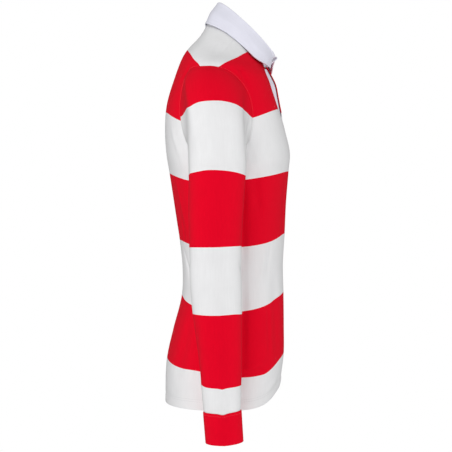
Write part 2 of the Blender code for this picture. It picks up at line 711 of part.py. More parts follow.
def main():
    clear_scene()
    collection = make_collection()
    jersey = make_material("hooped_jersey", WHITE, 0.85)
    red = make_material("red_jersey", RED, 0.85)
    drill = make_material("white_drill", DRILL_WHITE, 0.8)
    rubber = make_material("button_rubber", RUBBER_WHITE, 0.5)
    hem_rows = 2

    right = front_half_rows(1)
    left = [list(reversed(row)) for row in front_half_rows(-1)]
    make_wall("front", [right, left], False, False, JERSEY_WALL, jersey, collection, hem_rows)
    make_wall("back", [back_rows()], False, False, JERSEY_WALL, jersey, collection, hem_rows)
    for name, mirror in (("right", False), ("left", True)):
        sleeve = sleeve_rows()
        cuff = cuff_rows()
        if mirror:
            sleeve = mirrored(sleeve)
            cuff = mirrored(cuff)
        make_wall("sleeve_" + name, [sleeve], True, mirror, JERSEY_WALL, jersey, collection)
        make_wall("cuff_" + name, [cuff], True, mirror, HEM_WALL, red, collection)

    collar_right = collar_profiles(1)
    collar_left = collar_profiles(-1)
    collar = list(reversed(collar_right)) + collar_left[1:]
    make_wall("collar", [collar], False, False, DRILL_WALL, drill, collection)

    make_wall("placket_overlap", [overlap_rows()], False, False, STRIP_WALL, drill, collection)
    make_wall("placket_underlap", [underlap_rows()], False, False, STRIP_WALL, drill, collection)

    for number, height in enumerate(BUTTON_HEIGHTS, 1):
        x = -slit_half_width(height, 1) - BUTTON_FROM_EDGE
        place, normal = placket_place(height, x, BUTTON_DEPTH + BUTTON_THICKNESS / 2, 1)
        middle = place * MM
        turn = normal.to_track_quat("Z", "Y").to_matrix().to_4x4()
        bpy.ops.mesh.primitive_cylinder_add(
            vertices=BUTTON_SIDES, radius=BUTTON_RADIUS * MM, depth=BUTTON_THICKNESS * MM
        )
        button = bpy.context.object
        button.name = "button_%d" % number
        button.matrix_world = Matrix.Translation(middle) @ turn
        button.data.materials.append(rubber)
        bevel = button.modifiers.new("rounded", "BEVEL")
        bevel.width = BUTTON_ROUNDING * MM
        bevel.segments = 2
        bevel.limit_method = "ANGLE"
        for old in list(button.users_collection):
            old.objects.unlink(button)
        collection.objects.link(button)


main()
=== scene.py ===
"""Rugby shirt: hooped cotton jersey, drill collar and placket, stitching, rubber buttons and a stage.

Lengths in the tables are millimetres in the shirt's own frame: +Z up, the wearer faces -Y and the
wearer's right arm is at -X. The file is laid out as an add-on and is run as a script.
"""

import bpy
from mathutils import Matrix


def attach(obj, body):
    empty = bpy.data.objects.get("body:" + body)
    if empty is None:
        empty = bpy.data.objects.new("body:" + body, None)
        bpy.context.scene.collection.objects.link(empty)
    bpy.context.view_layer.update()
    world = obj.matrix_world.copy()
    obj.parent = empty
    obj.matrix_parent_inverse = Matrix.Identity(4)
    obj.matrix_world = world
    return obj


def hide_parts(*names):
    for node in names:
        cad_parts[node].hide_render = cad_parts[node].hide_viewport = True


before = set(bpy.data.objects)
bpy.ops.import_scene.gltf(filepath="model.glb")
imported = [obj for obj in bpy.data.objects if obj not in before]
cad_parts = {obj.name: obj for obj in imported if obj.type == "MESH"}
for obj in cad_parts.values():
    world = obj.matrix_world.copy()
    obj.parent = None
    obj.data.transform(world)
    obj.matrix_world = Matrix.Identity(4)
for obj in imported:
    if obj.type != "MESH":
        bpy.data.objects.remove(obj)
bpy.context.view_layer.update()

import math
from collections import namedtuple

import bmesh
import bpy
import numpy as np
from mathutils import Matrix, Vector

bl_info = {
    "name": "Rugby shirt",
    "version": (1, 0, 0),
    "blender": (4, 5, 0),
    "location": "3D View > Sidebar > Shirt",
    "description": "Dresses a rugby shirt in hooped jersey, drill, stitching and rubber",
    "category": "Object",
}

MM = 0.001
TINY = 1e-9
UPWARD = np.array((0.0, 0.0, 1.0))
# factors that keep the level part of a vector, and that carry it over to the other side
LEVEL = np.array((1.0, 1.0, 0.0))
MIRROR = np.array((-1.0, 1.0, 1.0))


def table(kind, *rows):
    """Records of one kind, each given by the plain values of its fields."""
    return [kind(*row) for row in rows]


# ---- cloth and seams ----
JERSEY_WALL = 1.4
HEM_WALL = 2.4
DRILL_WALL = 1.6
STRIP_WALL = 1.2
SEAM_GAP = 0.06
COLLAR_SEAM_GAP = 0.3
HEM_DEPTH = 20.0
HEM_WALL_FADES_OVER = 1.5
HEM_STITCHES = (13.0, 16.5)
RIM_ROUNDING = 0.5
SEAM_RIM_ROUNDING = 0.12
RIM_ANGLE = 60
SHARP_ANGLE = 50
MERGE_DISTANCE = 0.02
# grooves: depth and width, then the place if it isn't at the edge itself
SEAM_ROLL = (0.16, 1.3)
SLEEVE_END_ROLL = (0.5, 1.2)
CUFF_TOP_ROLL = (1.0, 1.3)
HEAD_HOLLOW = (0.9, 3.5, 6.5)
COLLAR_EDGE_BEAD = (0.15, 2.0, 2.5)
# depths of the grooves along rows of stitches
STITCH_GROOVE_WIDTH = 1.3
HEM_DIMPLE = 0.7
CUFF_DIMPLE = 0.35
COLLAR_DIMPLE = 0.3
STRIP_DIMPLE = 0.15
# shares of their length over which folds and creases fade in and out
FOLD_FADES = (0.35, 0.35)
CREASE_FADES = (0.3, 0.45)
FOLDS_END_ABOVE_UNDERARM = 20.0

ARMHOLE_FRONT_REACH = 62.0
ARMHOLE_BACK_REACH = 54.0
ARMHOLE_FULLNESS = 2.2
ARMHOLE_STITCH_FROM_EDGE = 2.2

SLIT_BASE_HEIGHT = -133.0
SLIT_RIGHT_TOP = 13.0
SLIT_RIGHT_LOW = 4.0
SLIT_LEFT_TOP = 5.0
SLIT_LEFT_LOW = 2.0
LEFT_FRONT_STANDS_PROUD = 4.6
SLIT_FLAT_REACH = 30.0
SLIT_SHIFT_REACH_RIGHT = 120.0
SLIT_SHIFT_REACH_LEFT = 65.0
SLIT_SHIFT_FULL_AT_Y = -60.0
SLIT_SHIFT_ENDS_AT_Y = -35.0
SLIT_OPENS_OVER = 12.0
SLIT_SHIFTS_OVER = 34.0

CUFF_STEP = 1.0
CUFF_STITCH_BELOW_SEAM = 4.0
CUFF_NOTCH_DEPTH = 1.6
CUFF_NOTCH_PSI = 2.0
CUFF_NOTCH_HALF_ANGLE = 11.0
CUFF_NOTCH_FADES_OVER = 14.0
# the seam and the cuff's hem rise towards the front of the arm
CUFF_FRONT_RISE = 3.0
CUFF_RISE_FADES_OVER = 24.0

COLLAR_FOLD_RADIUS = 2.6
COLLAR_CROWN_HALF_WIDTH = 0.6 * COLLAR_FOLD_RADIUS
COLLAR_CROWN_DROP = 0.25 * COLLAR_FOLD_RADIUS
COLLAR_BELLY_UP = 2.0
COLLAR_BELLY_OUT = 1.5
COLLAR_LEFT_END_FORWARD = 5.0
COLLAR_LEFT_END_STARTS = 0.6
COLLAR_STITCH_FROM_EDGE = 5.5
COLLAR_END_STITCH_INSET = 4
COLLAR_LEAF_STARTS = 0.5
COLLAR_LEAF_STARTS_OVER = 0.05

STRIP_WIDTH = 26.0
STRIP_TAIL = 12.0
STRIP_BELOW_NECK = 2.5
STRIP_CLEARANCE = 0.7
STRIP_PEEP = 1.6
STRIP_STITCH_FROM_EDGE = 3.0
OVERLAP_DEPTH = JERSEY_WALL + STRIP_CLEARANCE
UNDERLAP_BEHIND_OVERLAP = 20.0
UNDERLAP_BEHIND_LEFT = 12.0
UNDERLAP_EASE = 3.0
BUTTON_RADIUS = 5.5
BUTTON_THICKNESS = 2.4
BUTTON_RIM = 1.2
BUTTON_DISH_SLOPE = 0.6
BUTTON_DISH_DEPTH = 0.5
BUTTON_ROUNDING = 0.45
BUTTON_ROUNDED_ANGLE = 35
BUTTON_FROM_EDGE = 11.0
BUTTON_HEIGHTS = (-52.0, -82.0, -112.0)
BUTTON_CLEARANCE = 1.0
BUTTON_DEPTH = OVERLAP_DEPTH + STRIP_WALL + BUTTON_CLEARANCE
UNDERLAP_DEPTH = BUTTON_DEPTH + BUTTON_THICKNESS + BUTTON_CLEARANCE

# ---- a stitch ----
# It lies a little sunk in the cloth and arches up in its middle. Its profile gives shares of its
# length and of its thickness.
STITCH_SIDES = 5
STITCH_PROFILE = ((0.0, 0.25), (0.16, 0.85), (0.5, 1.0), (0.84, 0.85), (1.0, 0.25))
STITCH_LIFT = 0.1
STITCH_SINK = 0.1
COLLAR_STITCH_LIFT = 0.08
COLLAR_THREAD_SHARE = 0.9

# ---- resolution ----
BODY_ROWS = 110
ARMHOLE_ROWS = 60
SHOULDER_ROWS = 26
PANEL_COLUMNS = 64
RING_SAMPLES = 260
SLEEVE_COLUMNS = 132
CAP_ROWS = 54
SLEEVE_ROWS = 116
CUFF_ROWS = 16
COLLAR_STATIONS = 84
COLLAR_PROFILE_STEPS = 44
COLLAR_PROFILE_SAMPLES = 240
STRIP_ROWS = 44
OVERLAP_COLUMNS = 12
UNDERLAP_COLUMNS = 26
FRONT_SAMPLES = 800
FRONT_SAMPLES_BELOW_UNDERARM = 60.0
BUTTON_SIDES = 32
FACES_UPWARD = 0.9
FLOOR_SIDES = 96
# distances from a panel's seam to its narrow columns
NARROW_COLUMNS = np.array((0.0, 0.6, 1.2, 2.4))
# shares of the way at which narrow rows lie beside the sleeve's head seam and the cuff's seam
CAP_SEAM_SHARES = (0.0, 0.004, 0.009, 0.016)
CAP_EVEN_FROM = 0.028
CUFF_SEAM_SHARES = (0.965, 0.985, 1.0)
CUFF_EVEN_TO = 0.94
# small steps along and round the cloth, from which slopes are read
RUN_STEP = 2.0
BEYOND_STEP = 1.0
TURN_STEP = 0.02
CAP_STEP_DOWN = 5.0

# ---- body rings, hem to neck ----
# front, back: Y of the centre front and centre back; half: half width; side: Y of the widest point;
# z_front, z_side, z_back: heights of the ring at those places; n_front, n_back: squareness in plan;
# droop_f, droop_b: how fast the ring falls away from its middle heights, near 1 for a flat tilt
Ring = namedtuple("Ring", "name front back half side z_front z_side z_back n_front n_back droop_f droop_b")
BODY_RINGS = table(
    Ring,
    ("hem", -99, 98, 184, -2, -573, -602, -604, 2.2, 2.3, 4.5, 3),
    ("lower_hoop", -107, 96, 181, -3, -528, -552, -537, 2.2, 2.3, 2.5, 2.5),
    ("high_hip", -107.5, 84.5, 175, -6, -474, -500, -482, 2.2, 2.3, 2, 2),
    ("waist_hoop", -107, 70, 169, -8, -420, -446, -425, 2.2, 2.3, 2, 2),
    ("waist", -106, 68.5, 166.5, -8, -370, -395, -377, 2.2, 2.3, 2, 2),
    ("upper_waist", -109, 73.5, 169.5, -5, -319, -343, -329, 2.2, 2.4, 2, 2),
    ("ribs", -111.5, 82, 177.5, 0, -263, -289, -270, 2.3, 2.5, 2, 2),
    ("bust_hoop", -116, 91, 185, 5, -208, -236, -211, 2.3, 2.6, 2, 2),
    ("underarm", -118, 95.5, 187, 8, -178, -209, -182, 2.4, 2.8, 2, 2),
    ("chest", -110.5, 98, 184, 11, -143, -172, -142, 2.4, 2.9, 2, 2),
    ("chest_hoop", -99.5, 95, 180.5, 13, -101, -133, -98, 2.6, 3, 1.8, 2),
    ("upper_chest", -95, 83, 180.5, 15, -78, -93, -54, 2.3, 2.7, 1.4, 2.2),
    ("shoulder_point", -90.5, 65.5, 187, 18, -56, -51, -8, 1.95, 2.2, 0.95, 2.2),
    ("mid_shoulder", -81.5, 38, 134, -4, -37, -18, 26, 2, 2.1, 0.9, 1.3),
    ("neck", -74, 19, 80, -27, -24, 18, 61.5, 2.1, 2.2, 0.92, 0.92),
)
# places of two rings in the list
UNDERARM = 8
SHOULDER_POINT = 12

# ---- hoops ----
# The lines where one hoop ends and the next begins, from the hem up, the lowest hoop being white:
# turn round from the centre front in degrees, and the run of the cloth from the hem there.
BODY_HOOP_LINES = (
    ((0, 62), (23, 61), (38, 56), (50, 52), (60, 53), (76, 56), (112, 65), (138, 61), (180, 61)),
    ((0, 167), (24, 167), (51, 164), (78, 164.5), (147, 164), (163, 167), (180, 167)),
    ((0, 267), (23, 266.5), (45, 263.5), (76, 265), (135, 264.5), (156, 266), (180, 266)),
    ((0, 375), (38, 376), (72, 378), (120, 374), (153, 373.5), (180, 375)),
    ((0, 480.5), (26, 480.5), (60, 479), (121, 473), (161, 474), (180, 474)),
    ((0, 760), (50, 700), (58, 645), (63, 628), (69, 608), (76, 578), (82, 560), (90, 553),
     (104, 556), (112, 560.5), (124, 563), (140, 566), (180, 569)),
)
# The same for a sleeve, from the cuff up: psi in degrees from the outside of the arm, positive
# towards its front, and the height there.
SLEEVE_HOOP_LINES = (
    ((-71, -552), (-49, -554), (-8, -555), (3, -556), (14, -554.5), (55, -553), (76, -552.5)),
    ((-71, -443.5), (-5, -444.5), (41, -443), (65, -443.5)),
    ((-60, -341.5), (-3, -341.5), (44, -340), (68, -339.5)),
    ((-90, -229), (-49, -227), (-19, -224.5), (0, -224.5), (25, -226), (68, -230), (90, -231)),
    ((-90, -130), (-80, -126), (-70, -124.5), (-35, -123), (-22, -119.5), (-14, -117), (0, -115.5),
     (14, -116), (33, -119), (52, -123.5), (76, -125), (90, -131)),
)
HOOP_PITCH = 100.0
# how much of the last hoop is counted, so that no further one begins
LAST_HOOP_SHARE = 0.9

# ---- sleeve sections below the cap; shape of a right sleeve ----
Section = namedtuple("Section", "name z x y half_x half_y")
SLEEVE_SECTIONS = table(
    Section,
    ("below_cap", -225, -244, 7, 45, 45),
    ("upper_arm", -285, -245, 8.4, 43.5, 42.6),
    ("above_elbow", -341, -246, 9.4, 42, 40.4),
    ("elbow", -395, -247, 8.8, 41, 39.9),
    ("forearm", -445, -248.5, 6.2, 39.5, 37.9),
    ("mid_forearm", -485, -250, 3.4, 37.5, 35.2),
    ("lower_forearm", -530, -251.5, 0.7, 34.5, 32.2),
    ("above_cuff", -560, -252.5, 0.2, 32.5, 30.4),
    ("cuff_seam", -593, -253.5, -1.3, 31, 28.9),
    ("cuff_bottom", -641, -255, -4.7, 30.5, 28.2),
)
SLEEVE_PLAN_POWER = 2.1
SLEEVE_HEAD_PUSH = (-0.6, 0.0, 0.25)
SIDE_HOLD = 0.3
CAP_LEAVE = 0.95
CAP_ARRIVE = 1.15
# Where the cap stands fuller: psi in degrees at the middle of the swelling, how far it reaches on
# each side, and how far it pushes the cloth out and along.
Swell = namedtuple("Swell", "name psi reach x y")
CAP_SWELLS = table(
    Swell,
    ("front", 38, 40, -7, -10),
    ("back", -46, 42, -4, 8.5),
)
CAP_SWELL_PEAK = 27.0 / 4.0
CAP_EASING_PSI = -62.0
CAP_EASING_HALF_ANGLE = 40.0
CAP_EASING_STARTS = 0.2
CAP_EASING_FADES_OVER = 60.0
CAP_EASING_PASSES = 24

# ---- placket slit ----
# How far the right front lies back beside the slit, at heights of the centre front.
Sink = namedtuple("Sink", "z depth")
RIGHT_SINKS = table(
    Sink,
    (-133, 0.5),
    (-99, 3.2),
    (-66, 6.3),
    (-40, 5.6),
    (-24, 1.5),
)

# ---- collar ----
FOLD_RING = Ring("collar_fold", -91.0, 7.0, 68.0, -42.0, -6.5, 40.0, 86.5, 2.2, 2.2, 0.92, 0.92)
FOLD_FRONT_ANGLE = 9.0
Leaf = namedtuple("Leaf", "name share x y z")
LEAF_EDGE = table(
    Leaf,
    ("centre_back", 0, 0, 30, 50),
    ("back", 0.22, -60, 26.5, 40.5),
    ("back_shoulder", 0.36, -87, 13, 31),
    ("shoulder", 0.48, -96.5, -6, 19.5),
    ("front_shoulder", 0.6, -99, -33, -2),
    ("chest", 0.74, -100, -56.5, -24.5),
    ("near_point", 0.88, -72, -75, -31.5),
    ("point", 1, -36, -84, -32.5),
)

# ---- folds and creases ----
# turn: degrees round from the centre front, positive on the wearer's right; z: height;
# bow: how far the middle of the line swings sideways; lean: how far the trough tips towards a ridge
# on one side; a negative depth makes a ridge.
Crease = namedtuple("Crease", "name turn_a z_a turn_b z_b bow width_a width_b depth lean")
BODY_FOLDS = table(
    Crease,
    ("front_drop", 40, -360, 33, -555, 0, 20, 20, 2.6, 0),
    ("front_drop_left", -37, -385, -30, -560, 0, 20, 20, 2.4, 0),
    ("underarm_front", 66, -205, 58, -300, 0, 15, 15, 3, 0),
    ("underarm_front_left", -66, -205, -57, -310, 0, 15, 15, 3, 0),
    ("waist_back", 104, -330, 150, -400, 0, 16, 16, 3, 0),
    ("waist_back_left", -106, -335, -149, -395, 0, 16, 16, 3, 0),
    ("back_drop", 128, -420, 137, -575, 0, 22, 22, 3, 0),
    ("back_drop_left", -131, -415, -140, -580, 0, 22, 22, 3, 0),
)
BODY_CREASES = table(
    Crease,
    ("beside_armhole_front", 65, -44, 58, -96, 2, 6, 8, 1.8, 0),
    ("beside_armhole_back", 124, -44, 139, -76, 0, 6, 7, 1.5, 0),
    ("shoulder_wrinkle", 101, -2, 88, -32, 2, 4, 5, -0.6, 0.5),
    ("shoulder_wrinkle_behind", 114, 2, 99, -32, -2, 4, 5, 0.6, 0.4),
    ("beside_sleeve_front", 71, -150, 66, -222, 3, 4, 7, 1, 0.6),
    ("beside_sleeve_mid", 75, -216, 75, -404, 1, 7, 8, 2.1, 0),
    ("beside_sleeve_low", 75, -376, 74, -568, -1, 8, 7, 2, 0),
    ("blade_ridge", 142, -140, 119, -214, 3, 8, 11, -1.2, 0.3),
    ("blade_edge", 112, -140, 115, -190, 0, 3, 3, -0.9, 0),
    ("rib_ridge", 143, -222, 135, -318, 3, 7, 10, -1.4, -0.3),
    ("small_of_back", 143, -288, 146, -342, 2, 4, 5, 1.5, 0.6),
    ("small_of_back_ridge", 152, -290, 163, -338, 0, 5, 6, -1.2, 0),
    ("waist_back_low", 154, -338, 137, -412, 3, 4, 6, 1.9, 0.5),
    ("waist_front_ridge", 51, -330, 62, -408, 3, 6, 8, -1.5, 0),
    ("waist_front_trough", 44, -326, 54, -410, 3, 5, 7, 0.9, 0.2),
    ("lower_front", 48.5, -430, 47, -530, 1, 6, 8, 1.3, -0.2),
    ("hem_sag", 77, -546, 44, -530, -3, 5, 4, 1.7, 0),
    ("hem_sag_ridge", 76, -535, 47, -519, -3, 5, 4, -1.2, 0),
    ("hem_front_roll", 34, -574, -38, -570, 2, 13, 12, -2.6, 0),
    ("hem_ridge", 50, -580, 26, -558, 2, 6, 8, -1.5, 0),
    ("low_back", 134, -430, 116, -520, 4, 8, 12, 1.3, 0.4),
    ("beside_armhole_front_left", -65, -46, -58, -98, -2, 6, 8, 1.6, 0),
    ("beside_armhole_back_left", -126, -46, -140, -74, 0, 6, 7, 1.5, 0),
    ("beside_sleeve_front_left", -70, -154, -64, -226, -3, 4, 7, 1.2, -0.6),
    ("beside_sleeve_mid_left", -71, -222, -73, -386, 2, 8, 9, 1.6, 0),
    ("beside_sleeve_low_left", -73, -392, -70, -552, -2, 9, 7, 1.7, 0),
    ("blade_ridge_left", -143, -134, -121, -222, -4, 6, 9, -1.5, -0.4),
    ("rib_ridge_left", -141, -232, -136, -309, -3, 5, 8, -1.5, 0.3),
    ("small_of_back_left", -145, -294, -147, -350, -2, 4, 6, 1.3, -0.6),
    ("waist_back_low_left", -151, -345, -135, -424, -3, 4, 7, 1.6, -0.5),
    ("waist_front_ridge_left", -52, -330, -62, -397, -3, 5, 7, -1.3, 0),
    ("lower_front_left", -46, -448, -47, -534, -2, 5, 6, 1.4, 0.5),
    ("hem_front_left", -20, -470, -25, -572, 3, 9, 13, 0.9, 0.5),
    ("hem_ridge_left", -48, -576, -28, -560, -2, 7, 8, -1.2, 0),
    ("centre_back", 176, -300, 168, -420, 5, 9, 14, 1.3, 0.4),
    ("bust_drop", 24, -225, 17, -352, -4, 10, 15, 1, -0.5),
    ("bust_drop_left", -26, -228, -18, -345, 5, 10, 15, 1.1, -0.5),
)
# Here the turn is psi: 0 outside, 90 towards the front.
SLEEVE_CREASES = table(
    Crease,
    ("pressed_line", 4, -540, 1, -600, 0, 4, 3, -0.8, 0),
    ("front_fold", 85, -130, 83, -222, 2, 3, 5, 1.5, 0.4),
    ("front_fold_behind", 95, -126, 95, -205, 1, 3, 5, 1.5, 0.4),
    ("back_edge", -82, -165, -88, -270, -4, 6, 10, 1.6, 0.6),
    ("upper_rib", -32, -150, -42, -240, 1, 4, 5, -0.5, 0),
    ("upper_rib_outer", -13, -148, -26, -232, 1, 4, 5, -0.45, 0),
    ("upper_rib_front", -2, -154, -11, -222, -1, 3, 5, -0.4, 0),
    ("elbow_inside", 60, -360, 118, -385, 3, 6, 9, 1.1, 0.5),
    ("elbow_back", -70, -372, -128, -352, 3, 6, 8, 0.9, 0.5),
    ("forearm_back", -48, -450, -74, -520, 4, 6, 9, 0.8, 0.5),
)


# ---- reading the tables ----
def smooth(x):
    x = np.clip(x, 0.0, 1.0)
    return x * x * (3 - 2 * x)


def hermite(s):
    """Weights of a first place, the slope there, a second place and the slope there."""
    return 1 - s * s * (3 - 2 * s), s * (1 - s) ** 2, s * s * (3 - 2 * s), s * s * (s - 1)


def curve(knots, values, at):
    """Read a smooth curve through values at knots, for an array of places."""
    knots, values = np.asarray(knots, float), np.asarray(values, float)
    at = np.clip(at, knots[0], knots[-1])
    wide_knots, wide_values = np.pad(knots, 1, "edge"), np.pad(values, 1, "edge")
    slopes = (wide_values[2:] - wide_values[:-2]) / (wide_knots[2:] - wide_knots[:-2])
    i = np.clip(np.searchsorted(knots, at, side="right") - 1, 0, len(knots) - 2)
    span = knots[i + 1] - knots[i]
    here, leave, there, arrive = hermite((at - knots[i]) / span)
    return here * values[i] + there * values[i + 1] + span * (leave * slopes[i] + arrive * slopes[i + 1])


def column(rows, field):
    return [getattr(row, field) for row in rows]


def unit(vectors):
    return vectors / np.maximum(np.linalg.norm(vectors, axis=-1, keepdims=True), TINY)


def reaches(points):
    """Distances from the first point along lines of points, which run down the first axis."""
    steps = np.linalg.norm(np.diff(points, axis=0), axis=-1)
    return np.concatenate([0.0 * steps[:1], np.cumsum(steps, axis=0)])


def read_at(goals, reach, values):
    """Rows of values read at distances along one line."""
    return np.stack([np.interp(goals, reach, one) for one in np.transpose(values)], axis=-1)


def even_line(points, count):
    reach = reaches(points)
    return read_at(np.linspace(0.0, reach[-1], count + 1), reach, points)


def ring_knots(rings):
    """Each ring's distance from the hem: the mean of those up the front, the side and the back."""
    places = [((r.front, r.z_front), (r.half, r.z_side), (r.back, r.z_back)) for r in rings]
    return reaches(np.array(places)).mean(axis=1)


KNOTS = ring_knots(BODY_RINGS)
RUN_UNDERARM = KNOTS[UNDERARM]
RUN_SHOULDER = KNOTS[SHOULDER_POINT]
RUN_NECK = KNOTS[-1]
CUFF_SEAM_HEIGHT = SLEEVE_SECTIONS[-2].z
# psi of the sleeve's columns, which start and end at the seam under the arm
ROUND_ARM = np.linspace(math.pi, -math.pi, SLEEVE_COLUMNS + 1)


# ---- body surface ----
def rings_at(runs):
    """Ring values at an array of runs, each shaped to spread over a row of points."""
    runs = np.asarray(runs, float)
    fields = Ring._fields[1:]
    return Ring("between", *[curve(KNOTS, column(BODY_RINGS, f), runs)[..., None] for f in fields])


def ring_points(rings, turns):
    """Points of rings at turns in radians from the centre front, positive to the right."""
    s = np.abs(np.sin(turns))
    c = np.cos(turns)
    ahead = c >= 0
    c = np.abs(c)
    power = np.where(ahead, 2 / rings.n_front, 2 / rings.n_back)
    middle = np.where(ahead, rings.front, rings.back)
    z_middle = np.where(ahead, rings.z_front, rings.z_back)
    droop = np.where(ahead, rings.droop_f, rings.droop_b)
    x = -np.sign(turns) * rings.half * s**power
    y = rings.side + (middle - rings.side) * c**power
    z = rings.z_side + (z_middle - rings.z_side) * c**droop
    return np.stack(np.broadcast_arrays(x, y, z), axis=-1)


def hoop_count(lines, angles, heights):
    """How many hoop lines lie below each place, and the share of the way to the next one."""
    edges = [curve(*np.transpose(line), angles) for line in lines]
    edges.append(edges[-1] + HOOP_PITCH)
    lower = edges[0] - HOOP_PITCH
    count = 0.0
    for edge in edges:
        count = count + np.clip((heights - lower) / (edge - lower), 0.0, 1.0)
        lower = edge
    return np.minimum(count, len(lines) + LAST_HOOP_SHARE)


def turns_at_reach(rings, reach, back):
    """The turns at which rings are the given distances, in Y, from their widest points."""
    middle = rings.back if back else rings.front
    n = rings.n_back if back else rings.n_front
    share = np.minimum(np.asarray(reach)[..., None] / np.abs(middle - rings.side), 1.0)
    turns = np.arccos(share ** (n / 2))
    return math.pi - turns if back else turns


def armhole_reach(psi, back):
    """Half depth of the armhole at psi: 0 at the shoulder point, pi under the arm."""
    full = ARMHOLE_BACK_REACH if back else ARMHOLE_FRONT_REACH
    rise = np.abs(np.cos(psi)) ** ARMHOLE_FULLNESS
    return full * np.maximum(1.0 - rise, 0.0) ** (1 / ARMHOLE_FULLNESS)


def armhole_run(psi):
    return RUN_UNDERARM + (RUN_SHOULDER - RUN_UNDERARM) * (1 + np.cos(psi)) / 2


def crease_push(creases, turns, z, half, fades):
    """How far the cloth is pressed in by creases, which bow, widen, lean and fade at both ends."""
    push = np.zeros(np.broadcast(turns, z, half).shape)
    for crease in creases:
        start = np.radians(crease.turn_a) * half
        along = (np.radians(crease.turn_b) * half - start, crease.z_b - crease.z_a)
        here = (turns * half - start, z - crease.z_a)
        length = np.hypot(*along)
        share = (here[0] * along[0] + here[1] * along[1]) / length**2
        inside = np.clip(share, 0.0, 1.0)
        away = (here[0] * along[1] - here[1] * along[0]) / length - crease.bow * 4 * inside * (1 - inside)
        q = away / (crease.width_a + (crease.width_b - crease.width_a) * inside)
        ends = smooth(share / fades[0]) * smooth((1 - share) / fades[1])
        push += crease.depth * ends * np.exp(-(q**2)) * (1 + crease.lean * q)
    return push


def body_points(rings, turns):
    points = ring_points(rings, turns)
    centre = np.stack(np.broadcast_arrays(0.0 * rings.side, rings.side, 0.0), axis=-1)
    push = crease_push(BODY_FOLDS, turns, points[..., 2], rings.half, FOLD_FADES)
    below = rings.z_side <= BODY_RINGS[UNDERARM].z_side + FOLDS_END_ABOVE_UNDERARM
    return points + unit((centre - points) * LEVEL) * (push * below)[..., None]


def armhole_points(psi, beyond=0.0, higher=0.0):
    """The right armhole's seam, or places beyond and above it; psi runs from the top round the front."""
    psi = np.mod(psi, 2 * math.pi)
    out = np.empty((len(psi), 3))
    for back in (False, True):
        part = (psi > math.pi) == back
        run = armhole_run(psi[part])
        turns = turns_at_reach(rings_at(run), armhole_reach(psi[part], back) + beyond, back)
        out[part] = body_points(rings_at(np.minimum(run + higher, RUN_NECK)), turns)[:, 0]
    return out


def slit_half_width(z, side):
    """How far one edge of the placket's slit lies from the middle; nothing below its base."""
    low, top = (SLIT_RIGHT_LOW, SLIT_RIGHT_TOP) if side > 0 else (SLIT_LEFT_LOW, SLIT_LEFT_TOP)
    climb = (z - SLIT_BASE_HEIGHT) / (BODY_RINGS[-1].z_front - SLIT_BASE_HEIGHT)
    return smooth((z - SLIT_BASE_HEIGHT) / SLIT_OPENS_OVER) * (low + (top - low) * climb)


def slit_shift(points, side):
    """Beside the slit the right front sinks back and the left front stands forward."""
    x, y, z = np.moveaxis(points, -1, 0)
    reach = SLIT_SHIFT_REACH_RIGHT if side > 0 else SLIT_SHIFT_REACH_LEFT
    rise = smooth((z - SLIT_BASE_HEIGHT) / SLIT_SHIFTS_OVER)
    rise = rise * smooth((reach - np.abs(x)) / (reach - SLIT_FLAT_REACH))
    rise = rise * smooth((SLIT_SHIFT_ENDS_AT_Y - y) / (SLIT_SHIFT_ENDS_AT_Y - SLIT_SHIFT_FULL_AT_Y))
    if side < 0:
        return -rise * LEFT_FRONT_STANDS_PROUD
    return rise * curve(column(RIGHT_SINKS, "z"), column(RIGHT_SINKS, "depth"), z)


# ---- cloth as a grid ----
def place_on(reach, distance, from_end):
    """The fractional place on a line at a distance from one of its ends."""
    return np.interp(reach[-1] - distance if from_end else distance, reach, np.arange(len(reach)))


class Cloth:
    """A grid of points on a piece of cloth, rows from its hem up and columns edge to edge."""

    def __init__(self, points, hoops=None, closed=False):
        self.points = np.array(points, float)
        self.hoops = np.zeros(self.points.shape[:2]) if hoops is None else hoops
        self.closed = closed
        self.measure()

    def measure(self):
        """Outward normals, and the distances of each point from the cloth's edges."""
        rise = np.gradient(self.points, axis=0)
        run = np.gradient(self.points, axis=1)
        if self.closed:
            run[:, (0, -1)] = (self.points[:, 1] - self.points[:, -2])[:, None]
        self.normals = unit(np.cross(rise, run))
        self.up = reaches(self.points)
        self.from_top = self.up[-1:] - self.up
        self.across = reaches(self.points.swapaxes(0, 1)).T
        self.from_last = self.across[:, -1:] - self.across
        self.from_sides = np.minimum(self.across, self.from_last)

    def press(self, amount):
        """Push the cloth in by an amount in millimetres at each point."""
        self.points = self.points - self.normals * amount[..., None]
        self.measure()

    def mirrored(self):
        """The same cloth for the other side of the wearer."""
        return Cloth(self.points[:, ::-1] * MIRROR, self.hoops[:, ::-1], self.closed)

    def read(self, rows, columns):
        """Points, normals and hoop heights at fractional rows and columns."""
        grid = np.concatenate([self.points, self.normals, self.hoops[..., None]], axis=-1)
        rows = np.clip(rows, 0, grid.shape[0] - 1 - TINY)
        columns = np.clip(columns, 0, grid.shape[1] - 1 - TINY)
        i, j = rows.astype(int), columns.astype(int)
        a, b = (rows - i)[:, None], (columns - j)[:, None]
        low = grid[i, j] * (1 - b) + grid[i, j + 1] * b
        high = grid[i + 1, j] * (1 - b) + grid[i + 1, j + 1] * b
        found = low * (1 - a) + high * a
        return found[:, :3], unit(found[:, 3:6]), found[:, 6]

    def line_up(self, distance, from_end, rows):
        """A line up the cloth at a distance from its first or last edge."""
        return self.read(rows, [place_on(self.across[i], distance, from_end) for i in rows])

    def line_across(self, distance, from_end, first=0, spare=0):
        """A line across the cloth from its first column, at a distance from its bottom or top edge."""
        columns = np.arange(first, self.points.shape[1] - spare)
        return self.read([place_on(self.up[:, j], distance, from_end) for j in columns], columns)


def groove(distance, depth, width, place=0.0):
    """A soft groove along the cloth, at a place on the way in from its edge."""
    return depth * np.exp(-(((distance - place) / width) ** 2))


